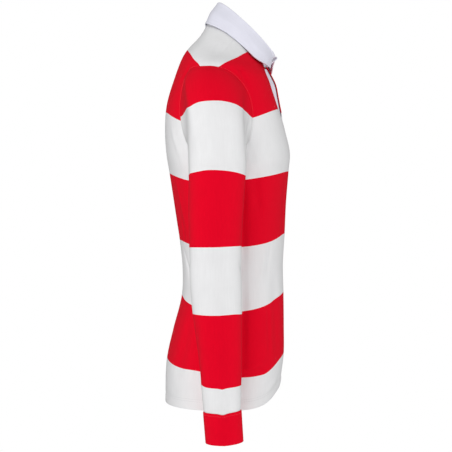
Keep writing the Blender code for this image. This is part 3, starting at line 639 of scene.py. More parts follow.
def spread(lines, extras, count, both_ends):
    """Even columns along lines of points, with narrow columns beside the edges that are seams."""
    rows = []
    for line, extra in zip(lines, extras):
        reach = reaches(line)
        low = NARROW_COLUMNS if both_ends else NARROW_COLUMNS[:1]
        high = reach[-1] - NARROW_COLUMNS[::-1]
        inner = np.linspace(low[-1], high[0], count + 1)[1:-1]
        goals = np.concatenate([low, inner, high])
        rows.append(read_at(goals, reach, np.concatenate([line, extra], axis=-1)))
    return np.array(rows)


def panel_rows(back):
    """Each row of a panel: its run, its ring, and the turn where its edge lies."""
    low = RUN_UNDERARM * np.linspace(0.0, 1.0, BODY_ROWS, endpoint=False)
    psi = math.pi * (1 - np.arange(ARMHOLE_ROWS + 1) / ARMHOLE_ROWS)
    high = RUN_SHOULDER + (RUN_NECK - RUN_SHOULDER) * np.arange(1, SHOULDER_ROWS + 1) / SHOULDER_ROWS
    runs = np.concatenate([low, armhole_run(psi), high])
    reach = np.concatenate([0.0 * low, armhole_reach(psi, back), 0.0 * high]) + SEAM_GAP / 2
    rings = rings_at(runs)
    return runs, rings, turns_at_reach(rings, reach, back)


def panel(runs, rings, turns, side, columns):
    """A body panel at rows of turns, pressed by its creases; side is 0 for the back."""
    wrapped = np.where(turns > math.pi, turns - 2 * math.pi, turns)
    points = body_points(rings, wrapped)
    if side:
        points[..., 1] += slit_shift(points, side)
    hoops = hoop_count(BODY_HOOP_LINES, np.degrees(np.abs(wrapped)), runs[:, None])
    rows = spread(points, np.stack([hoops, turns], axis=-1), columns, both_ends=side == 0)
    if side < 0:
        rows = rows[:, ::-1]
    cloth = Cloth(rows[..., :3], rows[..., 3])
    push = sum(groove(cloth.up, HEM_DIMPLE, STITCH_GROOVE_WIDTH, place) for place in HEM_STITCHES)
    # creases on the left of the back are given by turns below zero
    for back_by in (0.0, 2 * math.pi):
        push += crease_push(BODY_CREASES, rows[..., 4] - back_by, rows[..., 2], rings.half, CREASE_FADES)
    from_seam = {1: cloth.from_last, -1: cloth.across, 0: cloth.from_sides}[side]
    cloth.press(push + groove(from_seam, *SEAM_ROLL))
    return cloth


def front_half(side):
    """One half of the front, from the centre front to the side."""
    runs, rings, edge = panel_rows(back=False)
    start = np.arcsin((slit_half_width(rings.z_front, side) / rings.half) ** (rings.n_front / 2))
    turns = (start + (edge - start) * np.linspace(0.0, 1.0, RING_SAMPLES)) * side
    return panel(runs, rings, turns, side, PANEL_COLUMNS)


def back_panel():
    """The back, from the wearer's right side to the left."""
    runs, rings, edge = panel_rows(back=True)
    turns = edge + (2 * math.pi - 2 * edge) * np.linspace(0.0, 1.0, 2 * RING_SAMPLES + 1)
    return panel(runs, rings, turns, 0, 2 * PANEL_COLUMNS)


# ---- sleeve surface ----
def sections_at(z):
    heights = [-height for height in column(SLEEVE_SECTIONS, "z")]
    fields = Section._fields[1:]
    return Section("between", *[curve(heights, column(SLEEVE_SECTIONS, f), -z) for f in fields])


def sleeve_points(z, psi):
    """Points of the right sleeve below its cap; psi is 0 outside, then front, inside, back."""
    section = sections_at(z)
    power = 2 / SLEEVE_PLAN_POWER
    c, s = np.cos(psi), np.sin(psi)
    x = section.x - section.half_x * np.sign(c) * np.abs(c) ** power
    y = section.y - section.half_y * np.sign(s) * np.abs(s) ** power
    return np.stack(np.broadcast_arrays(x, y, z), axis=-1)


def armhole_leave(psi, goal):
    """The directions in which the sleeve leaves its seam: on from the panel, bent to its goal."""
    here = armhole_points(psi)
    along = armhole_points(psi + TURN_STEP) - armhole_points(psi - TURN_STEP)
    beyond = armhole_points(psi, BEYOND_STEP)
    normal = np.cross(here - beyond, armhole_points(psi, BEYOND_STEP, RUN_STEP) - beyond)
    out = unit(np.cross(normal, along))
    out = np.where(out[:, :1] > 0, -out, out)
    c = np.cos(psi)[:, None]
    hold = np.where(c < 0, SIDE_HOLD * (1 + c), SIDE_HOLD + (1 - SIDE_HOLD) * c)
    head = np.array(SLEEVE_HEAD_PUSH) * np.sqrt(np.maximum(c, 0.0))
    return unit(unit(goal - here) * (1 - hold) + out * hold + head)


def cap_swell(psi, share):
    """How far the cap swells, at a share of the way from the armhole to the top of the sleeve tube."""
    push = np.zeros((len(psi), 3))
    for swell in CAP_SWELLS:
        away = np.minimum(np.abs(np.degrees(psi) - swell.psi) / swell.reach, 1.0)
        push += np.cos(away * math.pi / 2)[:, None] ** 2 * np.array([swell.x, swell.y, 0.0])
    return push * CAP_SWELL_PEAK * share * (1 - share) ** 2


def cuff_drop(z, psi):
    """How far the cuff's seam lies below its level: down at the pressed fold, up towards the front."""
    round_arm = (np.degrees(psi) - CUFF_NOTCH_PSI) / CUFF_NOTCH_HALF_ANGLE
    above = z - CUFF_SEAM_HEIGHT
    notch = CUFF_NOTCH_DEPTH * np.exp(-(round_arm**2) - (above / CUFF_NOTCH_FADES_OVER) ** 2)
    fade = np.exp(-((np.maximum(above, 0.0) / CUFF_RISE_FADES_OVER) ** 2))
    return notch - CUFF_FRONT_RISE * np.maximum(np.sin(psi), 0.0) * fade


def ease_cap(points, psi, shares):
    """Soften the turn from the outside of the cap to its back, leaving the armhole edge alone."""
    below_seam = np.concatenate([shares, np.ones(len(points) - len(shares))])
    lower = smooth((SLEEVE_SECTIONS[0].z - points[..., 2]) / CAP_EASING_FADES_OVER)
    turned = (np.degrees(psi) - CAP_EASING_PSI) / CAP_EASING_HALF_ANGLE
    weight = smooth(below_seam / CAP_EASING_STARTS)[:, None] * (1 - lower) * np.exp(-(turned**2))
    weight = weight[:, :-1, None]
    ring = points[:, :-1]
    for _ in range(CAP_EASING_PASSES):
        beside = (np.roll(ring, 1, axis=1) + np.roll(ring, -1, axis=1)) / 2
        ring = ring + (beside - ring) * weight / 2
    return np.concatenate([ring, ring[:, :1]], axis=1)


def sleeve_cloth():
    """The right sleeve from its cuff seam up to the armhole, with its seam column repeated."""
    psi = ROUND_ARM
    top = SLEEVE_SECTIONS[0].z
    goal = sleeve_points(top, psi)
    arrive = unit(sleeve_points(top - CAP_STEP_DOWN, psi) - goal)
    leave = armhole_leave(psi, goal)
    start = armhole_points(psi) + leave * SEAM_GAP / 2
    reach = np.linalg.norm(goal - start, axis=-1, keepdims=True)
    shares = np.concatenate([CAP_SEAM_SHARES, np.linspace(CAP_EVEN_FROM, 1.0, CAP_ROWS)])
    rows = []
    for share in shares:
        here, leaving, there, arriving = hermite(share)
        bend = reach * (leave * CAP_LEAVE * leaving + arrive * CAP_ARRIVE * arriving)
        rows.append(start * here + goal * there + bend + cap_swell(psi, share))
    heights = np.linspace(top, CUFF_SEAM_HEIGHT + SEAM_GAP / 2, SLEEVE_ROWS + 1)[1:]
    rows += [sleeve_points(z, psi) for z in heights]
    points = ease_cap(np.array(rows), psi, shares)[::-1]
    section = sections_at(np.minimum(points[..., 2], top))
    hoops = hoop_count(SLEEVE_HOOP_LINES, np.degrees(psi), points[..., 2])
    half = (section.half_x + section.half_y) / 2
    push = crease_push(SLEEVE_CREASES, psi, points[..., 2], half, CREASE_FADES)
    points[..., 2] -= cuff_drop(points[..., 2], psi)
    cloth = Cloth(points, hoops, closed=True)
    push += groove(cloth.from_top, *SEAM_ROLL) + groove(cloth.from_sides, *SEAM_ROLL)
    push += groove(cloth.from_top, *HEAD_HOLLOW) * np.maximum(np.cos(psi), 0.0) ** 2
    cloth.press(push + groove(cloth.up, *SLEEVE_END_ROLL))
    return cloth


def cuff_cloth():
    """The right cuff from its hem up to its seam."""
    top = CUFF_SEAM_HEIGHT - SEAM_GAP / 2
    bottom = SLEEVE_SECTIONS[-1].z
    shares = np.concatenate([np.linspace(0.0, CUFF_EVEN_TO, CUFF_ROWS), CUFF_SEAM_SHARES])
    rows = []
    for z in bottom + (top - bottom) * shares:
        section = sections_at(z)
        ring = sleeve_points(z, ROUND_ARM)
        ring = ring + unit(ring - np.array([section.x, section.y, z])) * CUFF_STEP
        ring[:, 2] -= cuff_drop(z, ROUND_ARM)
        rows.append(ring)
    cloth = Cloth(rows, closed=True)
    push = groove(cloth.from_top, *CUFF_TOP_ROLL) + groove(cloth.from_sides, *SEAM_ROLL)
    push += groove(cloth.from_top, CUFF_DIMPLE, STITCH_GROOVE_WIDTH, CUFF_STITCH_BELOW_SEAM)
    cloth.press(push)
    return cloth


# ---- collar surface ----
def ring_line(ring, front_turn):
    """Even points of a ring's right half, from the centre back to a turn near the front."""
    turns = np.linspace(math.pi, front_turn, RING_SAMPLES)
    line = even_line(ring_points(ring, turns), COLLAR_STATIONS)
    line[0, 0] = 0.0
    return line


def collar_half(side):
    """One row for each station from the centre back: up the stand, over the fold, down the leaf."""
    neck = BODY_RINGS[-1]
    slit = SLIT_RIGHT_TOP if side > 0 else SLIT_LEFT_TOP
    seam = ring_line(neck, math.asin((slit / neck.half) ** (neck.n_front / 2)))
    seam[:, 1] += slit_shift(seam, side)
    top = ring_line(FOLD_RING, math.radians(FOLD_FRONT_ANGLE))
    share = np.linspace(0.0, 1.0, COLLAR_STATIONS + 1)
    knots = column(LEAF_EDGE, "share")
    edge = np.stack([curve(knots, column(LEAF_EDGE, f), share) for f in "xyz"], axis=-1)
    if side < 0:
        climb = (share - COLLAR_LEFT_END_STARTS) / (1 - COLLAR_LEFT_END_STARTS)
        forward = COLLAR_LEFT_END_FORWARD * smooth(climb)
        edge[:, 1] -= forward
        top[:, 1] -= forward
    out = unit((edge - top) * LEVEL)
    foot = seam + unit(top - seam) * COLLAR_SEAM_GAP
    inner = top - (out + UPWARD) * COLLAR_FOLD_RADIUS
    outer = top + (out - UPWARD) * COLLAR_FOLD_RADIUS
    crown = top - UPWARD * COLLAR_CROWN_DROP
    belly = (outer + edge) / 2 + UPWARD * COLLAR_BELLY_UP + out * COLLAR_BELLY_OUT
    stops = [foot, (foot + inner) / 2, inner]
    stops += [crown - out * COLLAR_CROWN_HALF_WIDTH, crown + out * COLLAR_CROWN_HALF_WIDTH]
    stops += [outer, (outer + belly) / 2, belly, (belly + edge) / 2, edge]
    rows = []
    for line in np.stack(stops, axis=1):
        reach = reaches(line)
        fine = np.linspace(0.0, reach[-1], COLLAR_PROFILE_SAMPLES)
        rounded = np.stack([curve(reach, one, fine) for one in line.T], axis=-1)
        rows.append(even_line(rounded, COLLAR_PROFILE_STEPS))
    return np.array(rows) * (MIRROR if side < 0 else 1.0)


def collar_cloth():
    """The whole collar, one row per station from the right front end round to the left."""
    cloth = Cloth(np.concatenate([collar_half(1)[::-1], collar_half(-1)[1:]]))
    share = cloth.across / cloth.across[:, -1:]
    on_leaf = smooth((share - COLLAR_LEAF_STARTS) / COLLAR_LEAF_STARTS_OVER)
    edge = np.minimum(cloth.from_last, np.minimum(cloth.up, cloth.from_top))
    push = groove(edge, COLLAR_DIMPLE, STITCH_GROOVE_WIDTH, COLLAR_STITCH_FROM_EDGE)
    cloth.press((push - groove(edge, *COLLAR_EDGE_BEAD)) * on_leaf)
    return cloth


# ---- placket strips ----
def front_place(z, x):
    """The front's outer surface and its outward normal at heights of the centre front."""
    z, x = np.broadcast_arrays(z, x)
    runs = np.linspace(RUN_UNDERARM - FRONT_SAMPLES_BELOW_UNDERARM, RUN_NECK, FRONT_SAMPLES)
    run = np.interp(z, rings_at(runs).z_front[:, 0], runs)
    rings = rings_at(run)
    share = np.minimum(np.abs(x)[..., None] / rings.half, 1.0)
    turn = np.sign(-x)[..., None] * np.arcsin(share ** (rings.n_front / 2))
    point = ring_points(rings, turn)[..., 0, :]
    down = ring_points(rings_at(run - RUN_STEP), turn)[..., 0, :] - point
    across = ring_points(rings, turn + TURN_STEP) - ring_points(rings, turn - TURN_STEP)
    normal = unit(np.cross(across[..., 0, :], down))
    return point, np.where(normal[..., 1:2] > 0, -normal, normal)


def placket_place(z, x, depth, side):
    """Points behind one front at heights and distances across, with their outward normals."""
    surface, normal = front_place(z, x)
    point = surface - normal * depth
    point[..., 1] += slit_shift(surface, side)
    return point, normal


def strip_heights():
    top = BODY_RINGS[-1].z_front - STRIP_BELOW_NECK
    return np.linspace(SLIT_BASE_HEIGHT - STRIP_TAIL, top, STRIP_ROWS + 1)[:, None]


def overlap_cloth():
    """The strip under the right front; it peeps out beyond the slit's edge."""
    z = strip_heights()
    inner = -slit_half_width(z, 1) + STRIP_PEEP
    x = inner - STRIP_WIDTH * np.linspace(0.0, 1.0, OVERLAP_COLUMNS + 1)
    cloth = Cloth(placket_place(z, x, OVERLAP_DEPTH, 1)[0])
    cloth.press(groove(cloth.from_sides, STRIP_DIMPLE, STITCH_GROOVE_WIDTH, STRIP_STITCH_FROM_EDGE))
    return cloth


def underlap_cloth():
    """The strip under the left front; it crosses the slit and dives behind the overlap."""
    z = strip_heights()
    left = slit_half_width(z, -1)
    right = -slit_half_width(z, 1)
    start = right - UNDERLAP_BEHIND_OVERLAP
    end = left + UNDERLAP_BEHIND_LEFT
    x = end + (start - end) * np.linspace(0.0, 1.0, UNDERLAP_COLUMNS + 1)
    share = smooth((x - right + UNDERLAP_EASE) / (left - right + 2 * UNDERLAP_EASE))[..., None]
    behind_right, _ = placket_place(z, x, UNDERLAP_DEPTH, 1)
    behind_left, _ = placket_place(z, x, OVERLAP_DEPTH, -1)
    return Cloth(behind_right * (1 - share) + behind_left * share)


# ---- meshes ----
def mesh_item(name, mesh, material):
    mesh.materials.append(material)
    item = bpy.data.objects.new(name, mesh)
    bpy.context.scene.collection.objects.link(item)
    return item


def grid_item(name, cloths, material):
    """One mesh of several cloth grids, merged where they meet, with hoops, rises and a UV map."""
    bm = bmesh.new()
    hoop_layer = bm.verts.layers.float.new("hoop")
    rise_layer = bm.verts.layers.float.new("rise")
    uv_layer = bm.loops.layers.uv.new("cloth")
    for cloth in cloths:
        verts = {}
        for place in np.ndindex(cloth.up.shape):
            verts[place] = bm.verts.new(cloth.points[place] * MM)
            verts[place][hoop_layer] = cloth.hoops[place]
            verts[place][rise_layer] = cloth.up[place]
        uv = np.stack([cloth.across - cloth.across[:, -1:] / 2, cloth.up], axis=-1) * MM
        for i, j in np.ndindex(cloth.up.shape[0] - 1, cloth.up.shape[1] - 1):
            corners = ((i, j), (i + 1, j), (i + 1, j + 1), (i, j + 1))
            face = bm.faces.new([verts[corner] for corner in corners])
            face.smooth = True
            for loop, corner in zip(face.loops, corners):
                loop[uv_layer].uv = uv[corner]
    bmesh.ops.remove_doubles(bm, verts=bm.verts, dist=MERGE_DISTANCE * MM)
    mesh = bpy.data.meshes.new(name)
    bm.to_mesh(mesh)
    bm.free()
    return mesh_item(name, mesh, material)


def apply_all(item):
    bpy.ops.object.select_all(action="DESELECT")
    item.select_set(True)
    bpy.context.view_layer.objects.active = item
    for modifier in list(item.modifiers):
        bpy.ops.object.modifier_apply(modifier=modifier.name)
    bpy.ops.object.shade_smooth_by_angle(angle=math.radians(SHARP_ANGLE))


def round_edges(item, width, segments, angle):
    bevel = item.modifiers.new("rounded", "BEVEL")
    bevel.width = width * MM
    bevel.segments = segments
    bevel.limit_method = "ANGLE"
    bevel.angle_limit = math.radians(angle)


def thicken(item, wall, hem_height, rounding):
    """Give cloth its wall inwards and round its raw rims; a turned-up hem is thicker."""
    solidify = item.modifiers.new("wall", "SOLIDIFY")
    solidify.offset = -1.0
    solidify.thickness = wall * MM
    if hem_height is not None:
        group = item.vertex_groups.new(name="hem")
        solidify.thickness = HEM_WALL * MM
        solidify.vertex_group = group.name
        solidify.thickness_vertex_group = wall / HEM_WALL
        rises = np.zeros(len(item.data.vertices))
        item.data.attributes["rise"].data.foreach_get("value", rises)
        for index, height in enumerate(rises):
            share = float(smooth((hem_height - height) / HEM_WALL_FADES_OVER + 1.0))
            group.add([index], share, "REPLACE")
    round_edges(item, rounding, 2, RIM_ANGLE)
    apply_all(item)
    item.vertex_groups.clear()


def lay_cloth(node, cloths, material, wall, hem_height=None, rounding=RIM_ROUNDING):
    """Make the cloth that stands for a node, and hide that node's part."""
    item = grid_item(node + "_cloth", cloths, material)
    thicken(item, wall, hem_height, rounding)
    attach(item, "root")
    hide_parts(node)


# ---- stitches ----
def stitch_run(points, normals, hoops, length, gap):
    """Places of stitches along a line: start, end, normal and hoop height of each."""
    reach = reaches(points)
    count = max(int(reach[-1] / (length + gap)), 1)
    pitch = reach[-1] / count
    begin = np.arange(count) * pitch + gap / 2
    middle = begin + (pitch - gap) / 2
    start = read_at(begin, reach, points)
    end = read_at(begin + pitch - gap, reach, points)
    return start, end, unit(read_at(middle, reach, normals)), np.interp(middle, reach, hoops)


def stitch_item(name, runs, width, lift, material):
    """One mesh of many stitches, each a small rounded bar of thread."""
    start, end, normal, hoops = (np.concatenate(parts) for parts in zip(*runs))
    along = end - start
    side = unit(np.cross(normal, along))
    places = []
    for share, size in STITCH_PROFILE:
        arch = lift * (1 - (2 * share - 1) ** 2) - STITCH_SINK
        for turn in 2 * math.pi * np.arange(STITCH_SIDES) / STITCH_SIDES:
            ring = side * math.cos(turn) + normal * math.sin(turn)
            places.append(start + along * share + normal * arch + ring * size * width / 2)
    verts = np.stack(places, axis=1).reshape(-1, 3) * MM
    last = len(places) - STITCH_SIDES
    one = []
    for low in range(0, last, STITCH_SIDES):
        for k in range(STITCH_SIDES):
            m = (k + 1) % STITCH_SIDES
            one.append((low + k, low + m, low + m + STITCH_SIDES, low + k + STITCH_SIDES))
    one += [range(STITCH_SIDES)[::-1], range(last, len(places))]
    faces = [[base + k for k in face] for base in range(0, len(verts), len(places)) for face in one]
    mesh = bpy.data.meshes.new(name)
    mesh.from_pydata(verts, [], faces)
    attribute = mesh.attributes.new("hoop", "FLOAT", "POINT")
    attribute.data.foreach_set("value", np.repeat(hoops, len(places)).astype(np.float32))
    mesh.shade_smooth()
    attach(mesh_item(name, mesh, material), "root")


# ---- materials ----
def add(tree, kind, inputs=None, **settings):
    """A node with its settings; its inputs are given by name or number, as links or plain values."""
    node = tree.nodes.new(kind)
    for name, value in settings.items():
        setattr(node, name, value)
    give(tree, node, inputs or {})
    return node


def give(tree, node, inputs):
    for name, value in inputs.items():
        if isinstance(value, bpy.types.NodeSocket):
            tree.links.new(value, node.inputs[name])
        else:
            node.inputs[name].default_value = value


def number(tree, operation, *values):
    node = add(tree, "ShaderNodeMath", dict(enumerate(values)), operation=operation)
    return node.outputs[0]


def mix_colours(tree, kind, factor, a, b):
    inputs = {0: factor, 6: a, 7: b}
    return add(tree, "ShaderNodeMix", inputs, data_type="RGBA", blend_type=kind).outputs[2]


def noise(tree, place, scale, **more):
    return add(tree, "ShaderNodeTexNoise", {"Vector": place, "Scale": scale, **more}).outputs["Fac"]


def ranged(tree, value, to, start=(0.0, 1.0), **settings):
    """A value from one range laid onto another."""
    inputs = {"Value": value, "From Min": start[0], "From Max": start[1], "To Min": to[0], "To Max": to[1]}
    return add(tree, "ShaderNodeMapRange", inputs, **settings).outputs[0]


def multiply_grey(tree, base, value):
    """A base colour darkened by a grey value."""
    grey = add(tree, "ShaderNodeCombineColor", {0: value, 1: value, 2: value})
    return mix_colours(tree, "MULTIPLY", 1.0, base, grey.outputs[0])


# each metre of cloth or thread: blotches, streaks across and along, fuzz, twists and grains
MOTTLE_SCALE = 38.0
STREAK_SCALE = (420.0, 26.0, 1.0)
FUZZ_SCALE = 900.0
TWIST_SCALE = 1500.0
GRAIN_SCALE = 700.0
# heights and slants within the weaves
LOOP_RISE = 0.8
LOOP_FOOT = 0.6
TWILL_SLANT = 0.7
TWILL_RIDGE = 1.4
TWILL_THREADS = 1.9
TWILL_THREAD_RISE = 0.5


def knit(group, given):
    """Jersey's fine wales and courses."""
    parts = add(group, "ShaderNodeSeparateXYZ", {0: given["Vector"]}).outputs
    side = number(group, "PINGPONG", number(group, "MULTIPLY", parts[0], given["Wales per Metre"]), 0.5)
    courses = number(group, "MULTIPLY", parts[1], given["Courses per Metre"])
    loop = number(group, "PINGPONG", number(group, "ADD", courses, side), 0.5)
    rib = number(group, "SINE", number(group, "MULTIPLY", side, math.pi))
    high = number(group, "ADD", number(group, "MULTIPLY", loop, LOOP_RISE), LOOP_FOOT)
    return {"Height": number(group, "MULTIPLY", rib, high)}


def twill(group, given):
    """Drill's fine diagonal ridges."""
    parts = add(group, "ShaderNodeSeparateXYZ", {0: given["Vector"]}).outputs
    across = number(group, "MULTIPLY", parts[0], given["Ridges per Metre"])
    along = number(group, "MULTIPLY", parts[1], given["Ridges per Metre"])
    diagonal = number(group, "ADD", across, number(group, "MULTIPLY", along, TWILL_SLANT))
    ridge = number(group, "MULTIPLY", number(group, "PINGPONG", diagonal, 0.5), TWILL_RIDGE)
    thread = number(group, "PINGPONG", number(group, "MULTIPLY", across, TWILL_THREADS), 0.5)
    return {"Height": number(group, "ADD", ridge, number(group, "MULTIPLY", thread, TWILL_THREAD_RISE))}


def nap(group, given):
    """The soft unevenness of worn-in cotton: a broad mottle, streaks up the cloth and a fine fuzz."""
    # the wales' yarns differ a little, so fine streaks run up the cloth
    inputs = {0: given["Cloth"], 1: STREAK_SCALE}
    stretched = add(group, "ShaderNodeVectorMath", inputs, operation="MULTIPLY").outputs[0]
    return {
        "Mottle": noise(group, given["Vector"], MOTTLE_SCALE, Detail=3.0, Roughness=0.6),
        "Streaks": noise(group, stretched, 1.0),
        "Fuzz": noise(group, given["Vector"], FUZZ_SCALE),
    }


def hoop_rows(group, given):
    """1 in white hoops and 0 in red ones: the hoop is white where an even number of lines lie below."""
    odd = number(group, "MODULO", number(group, "FLOOR", given["Lines Below"]), 2.0)
    return {"White": number(group, "SUBTRACT", 1.0, odd)}


# what each group takes, with None for a vector
NODE_GROUPS = {
    "jersey_knit": (knit, {"Vector": None, "Wales per Metre": 900.0, "Courses per Metre": 1100.0}),
    "drill_twill": (twill, {"Vector": None, "Ridges per Metre": 1100.0}),
    "cotton_nap": (nap, {"Vector": None, "Cloth": None}),
    "hoop_rows": (hoop_rows, {"Lines Below": 0.0}),
}


def use_group(tree, name, inputs):
    """A node of a shared group, which is made when it is first asked for."""
    if name not in bpy.data.node_groups:
        build, takes = NODE_GROUPS[name]
        group = bpy.data.node_groups.new(name, "ShaderNodeTree")
        for title, value in takes.items():
            kind = "NodeSocketVector" if value is None else "NodeSocketFloat"
            made = group.interface.new_socket(name=title, in_out="INPUT", socket_type=kind)
            if value is not None:
                made.default_value = value
        results = build(group, add(group, "NodeGroupInput").outputs)
        for title in results:
            group.interface.new_socket(name=title, in_out="OUTPUT", socket_type="NodeSocketFloat")
        add(group, "NodeGroupOutput", results)
    return add(tree, "ShaderNodeGroup", inputs, node_tree=bpy.data.node_groups[name]).outputs


def new_material(name):
    """A new material with its tree, its shader and the object's own coordinates."""
    material = bpy.data.materials.new(name)
    material.use_nodes = True
    tree = material.node_tree
    place = add(tree, "ShaderNodeTexCoord").outputs["Object"]
    return material, tree, tree.nodes["Principled BSDF"], place


def base_colour(tree, colours):
    """One plain colour, or two that take turns as hoops."""
    if len(colours) == 1:
        return colours[0]
    lines = add(tree, "ShaderNodeAttribute", attribute_name="hoop").outputs["Fac"]
    white = use_group(tree, "hoop_rows", {"Lines Below": lines})["White"]
    return mix_colours(tree, "MIX", white, *colours)


Finish = namedtuple("Finish", "weave mottle bump roughness specular sheen")
JERSEY = Finish("jersey_knit", 0.055, 0.35, 0.88, 0.01, 0.008)
DRILL = Finish("drill_twill", 0.06, 0.4, 0.8, 0.12, 0.02)
# painted shade at the outlines: how dark the cloth is painted where it is seen edge-on, and how fast that
# falls off
EDGE_SHADE = (0.6, 0.6, 0.6, 1)
EDGE_SHADE_FALL = 2.5
NOISE_RANGE = (0.3, 0.7)
FUZZ_HEIGHT = 1.2
WEAVE_DEPTH = 0.00025
ROUGHNESS_SWING = 0.06
SHEEN_ROUGHNESS = 0.6


def cloth_material(name, colours, finish):
    """A cotton material of one colour, or hooped in two."""
    if name in bpy.data.materials:
        return bpy.data.materials[name]
    material, tree, shader, place = new_material(name)
    uv = add(tree, "ShaderNodeUVMap", uv_map="cloth").outputs[0]
    cotton = use_group(tree, "cotton_nap", {"Vector": place, "Cloth": uv})
    weave = use_group(tree, finish.weave, {"Vector": uv})
    uneven = number(tree, "MULTIPLY", number(tree, "ADD", cotton["Mottle"], cotton["Streaks"]), 0.5)
    tone = ranged(tree, uneven, (1.0 - finish.mottle, 1.0), NOISE_RANGE)
    shaded = multiply_grey(tree, base_colour(tree, [(*colour, 1) for colour in colours]), tone)
    # painted shade: the colour darkens where the cloth is seen edge-on, towards its outlines
    slant = add(tree, "ShaderNodeLayerWeight", {"Blend": 0.5}).outputs["Facing"]
    edge_shaded = mix_colours(tree, "MULTIPLY", 1.0, shaded, EDGE_SHADE)
    height = number(tree, "ADD", weave["Height"], number(tree, "MULTIPLY", cotton["Fuzz"], FUZZ_HEIGHT))
    bump = {"Strength": finish.bump, "Distance": WEAVE_DEPTH, "Height": height}
    rough = (finish.roughness - ROUGHNESS_SWING, finish.roughness + ROUGHNESS_SWING)
    give(tree, shader, {
        "Base Color": mix_colours(tree, "MIX", number(tree, "POWER", slant, EDGE_SHADE_FALL), shaded, edge_shaded),
        "Normal": add(tree, "ShaderNodeBump", bump).outputs[0],
        "Roughness": ranged(tree, cotton["Mottle"], rough),
        "Specular IOR Level": finish.specular,
        "Sheen Weight": finish.sheen,
        "Sheen Roughness": SHEEN_ROUGHNESS,
    })
    return material


def jersey_material(context):
    finish = context.scene.shirt_finish
    return cloth_material("hooped_jersey_cloth", (finish.red, finish.white), JERSEY)


def drill_material(context):
    return cloth_material("white_drill_cloth", (context.scene.shirt_finish.drill,), DRILL)


def thread_material(name, *colours):
    """Twisted cotton thread, of one colour or changing with the hoops."""
    material, tree, shader, place = new_material(name)
    grey = ranged(tree, noise(tree, place, TWIST_SCALE), (0.9, 1.0))
    give(tree, shader, {
        "Base Color": multiply_grey(tree, base_colour(tree, colours), grey),
        "Roughness": 0.55,
        "Specular IOR Level": 0.25,
    })
    return material


def rubber_material(context):
    material, tree, shader, place = new_material("button_rubber_moulded")
    grain = noise(tree, place, GRAIN_SCALE)
    bump = {"Strength": 0.2, "Distance": 0.0001, "Height": grain}
    give(tree, shader, {
        "Base Color": (*context.scene.shirt_finish.rubber, 1),
        "Roughness": ranged(tree, grain, (0.42, 0.58)),
        "Normal": add(tree, "ShaderNodeBump", bump).outputs[0],
    })
    return material


def floor_material(radius):
    """A pale matt floor that fades into the white surround towards its edge."""
    material, tree, shader, place = new_material("pale_floor")
    give(tree, shader, {"Base Color": (0.9, 0.9, 0.9, 1), "Roughness": 0.9})
    away = add(tree, "ShaderNodeVectorMath", {0: place}, operation="LENGTH").outputs["Value"]
    reach = (FLOOR_FADES_FROM * radius, FLOOR_FADES_TO * radius)
    fade = ranged(tree, away, (0.0, 1.0), reach, interpolation_type="SMOOTHSTEP")
    seen = add(tree, "ShaderNodeLightPath").outputs["Is Camera Ray"]
    glow = add(tree, "ShaderNodeEmission", {"Color": WHITE_LIGHT}).outputs[0]
    share = number(tree, "MULTIPLY", fade, seen)
    mix = add(tree, "ShaderNodeMixShader", {0: share, 1: shader.outputs[0], 2: glow})
    tree.links.new(mix.outputs[0], tree.nodes["Material Output"].inputs["Surface"])
    return material


# ---- properties ----
class ShirtFinish(bpy.types.PropertyGroup):
    red: bpy.props.FloatVectorProperty(
        name="Red", description="Colour of the red hoops and cuffs", subtype="COLOR",
        default=(0.785, 0.002, 0.019), min=0.0, max=1.0,
    )
    white: bpy.props.FloatVectorProperty(
        name="White", description="Colour of the white hoops", subtype="COLOR",
        default=(0.83, 0.83, 0.838), min=0.0, max=1.0,
    )
    drill: bpy.props.FloatVectorProperty(
        name="Drill", description="Colour of the collar and placket", subtype="COLOR",
        default=(0.83, 0.83, 0.93), min=0.0, max=1.0,
    )
    rubber: bpy.props.FloatVectorProperty(
        name="Rubber", description="Colour of the buttons", subtype="COLOR",
        default=(0.7, 0.7, 0.68), min=0.0, max=1.0,
    )


class ShirtSewing(bpy.types.PropertyGroup):
    stitch: bpy.props.FloatProperty(
        name="Stitch", description="Length of one stitch", default=0.0028, unit="LENGTH", min=0.001
    )
    gap: bpy.props.FloatProperty(
        name="Gap", description="Space between stitches", default=0.0006, unit="LENGTH", min=0.0
    )
    thread: bpy.props.FloatProperty(
        name="Thread", description="Thickness of the thread", default=0.00045, unit="LENGTH", min=0.0001
    )


class ShirtStage(bpy.types.PropertyGroup):
    floor_drop: bpy.props.FloatProperty(
        name="Floor", description="How far the floor lies below the shoulders", default=1.35, unit="LENGTH"
    )
    floor_radius: bpy.props.FloatProperty(
        name="Floor Radius", description="How far the round floor reaches", default=3.4, unit="LENGTH"
    )
    surround: bpy.props.FloatProperty(
        name="Surround", description="Strength of the light from all round", default=0.6, min=0.0
    )
    key: bpy.props.FloatProperty(
        name="Key", description="Power of the light above the wearer's right", default=21.5, min=0.0
    )
    fill: bpy.props.FloatProperty(
        name="Fill", description="Power of the lights before and behind the wearer", default=24.0, min=0.0
    )
    softness: bpy.props.FloatProperty(
        name="Softness", description="Width of each light", default=0.9, unit="LENGTH", min=0.01
    )


# ---- operators ----
# the cloth grids, which the stitching needs again
HELD = {}


class SHIRT_OT_body(bpy.types.Operator):
    """Make the front and back of hooped jersey"""

    bl_idname = "shirt.body"
    bl_label = "Body"

    def execute(self, context):
        HELD.update(front_right=front_half(1), front_left=front_half(-1), back=back_panel())
        pieces = (
            ("front", ("front_right", "front_left"), ("hooped_jersey", (0.53, 0.60), 0.262)),
            ("back", ("back",), ("hooped_jersey", (0.49, 0.66), 0.272)),
        )
        for node, names, sheet in pieces:
            cloths = [HELD[name] for name in names]
            material = jersey_material(context)
            lay_cloth(node, cloths, material, JERSEY_WALL, HEM_DEPTH, SEAM_RIM_ROUNDING)
        return {"FINISHED"}


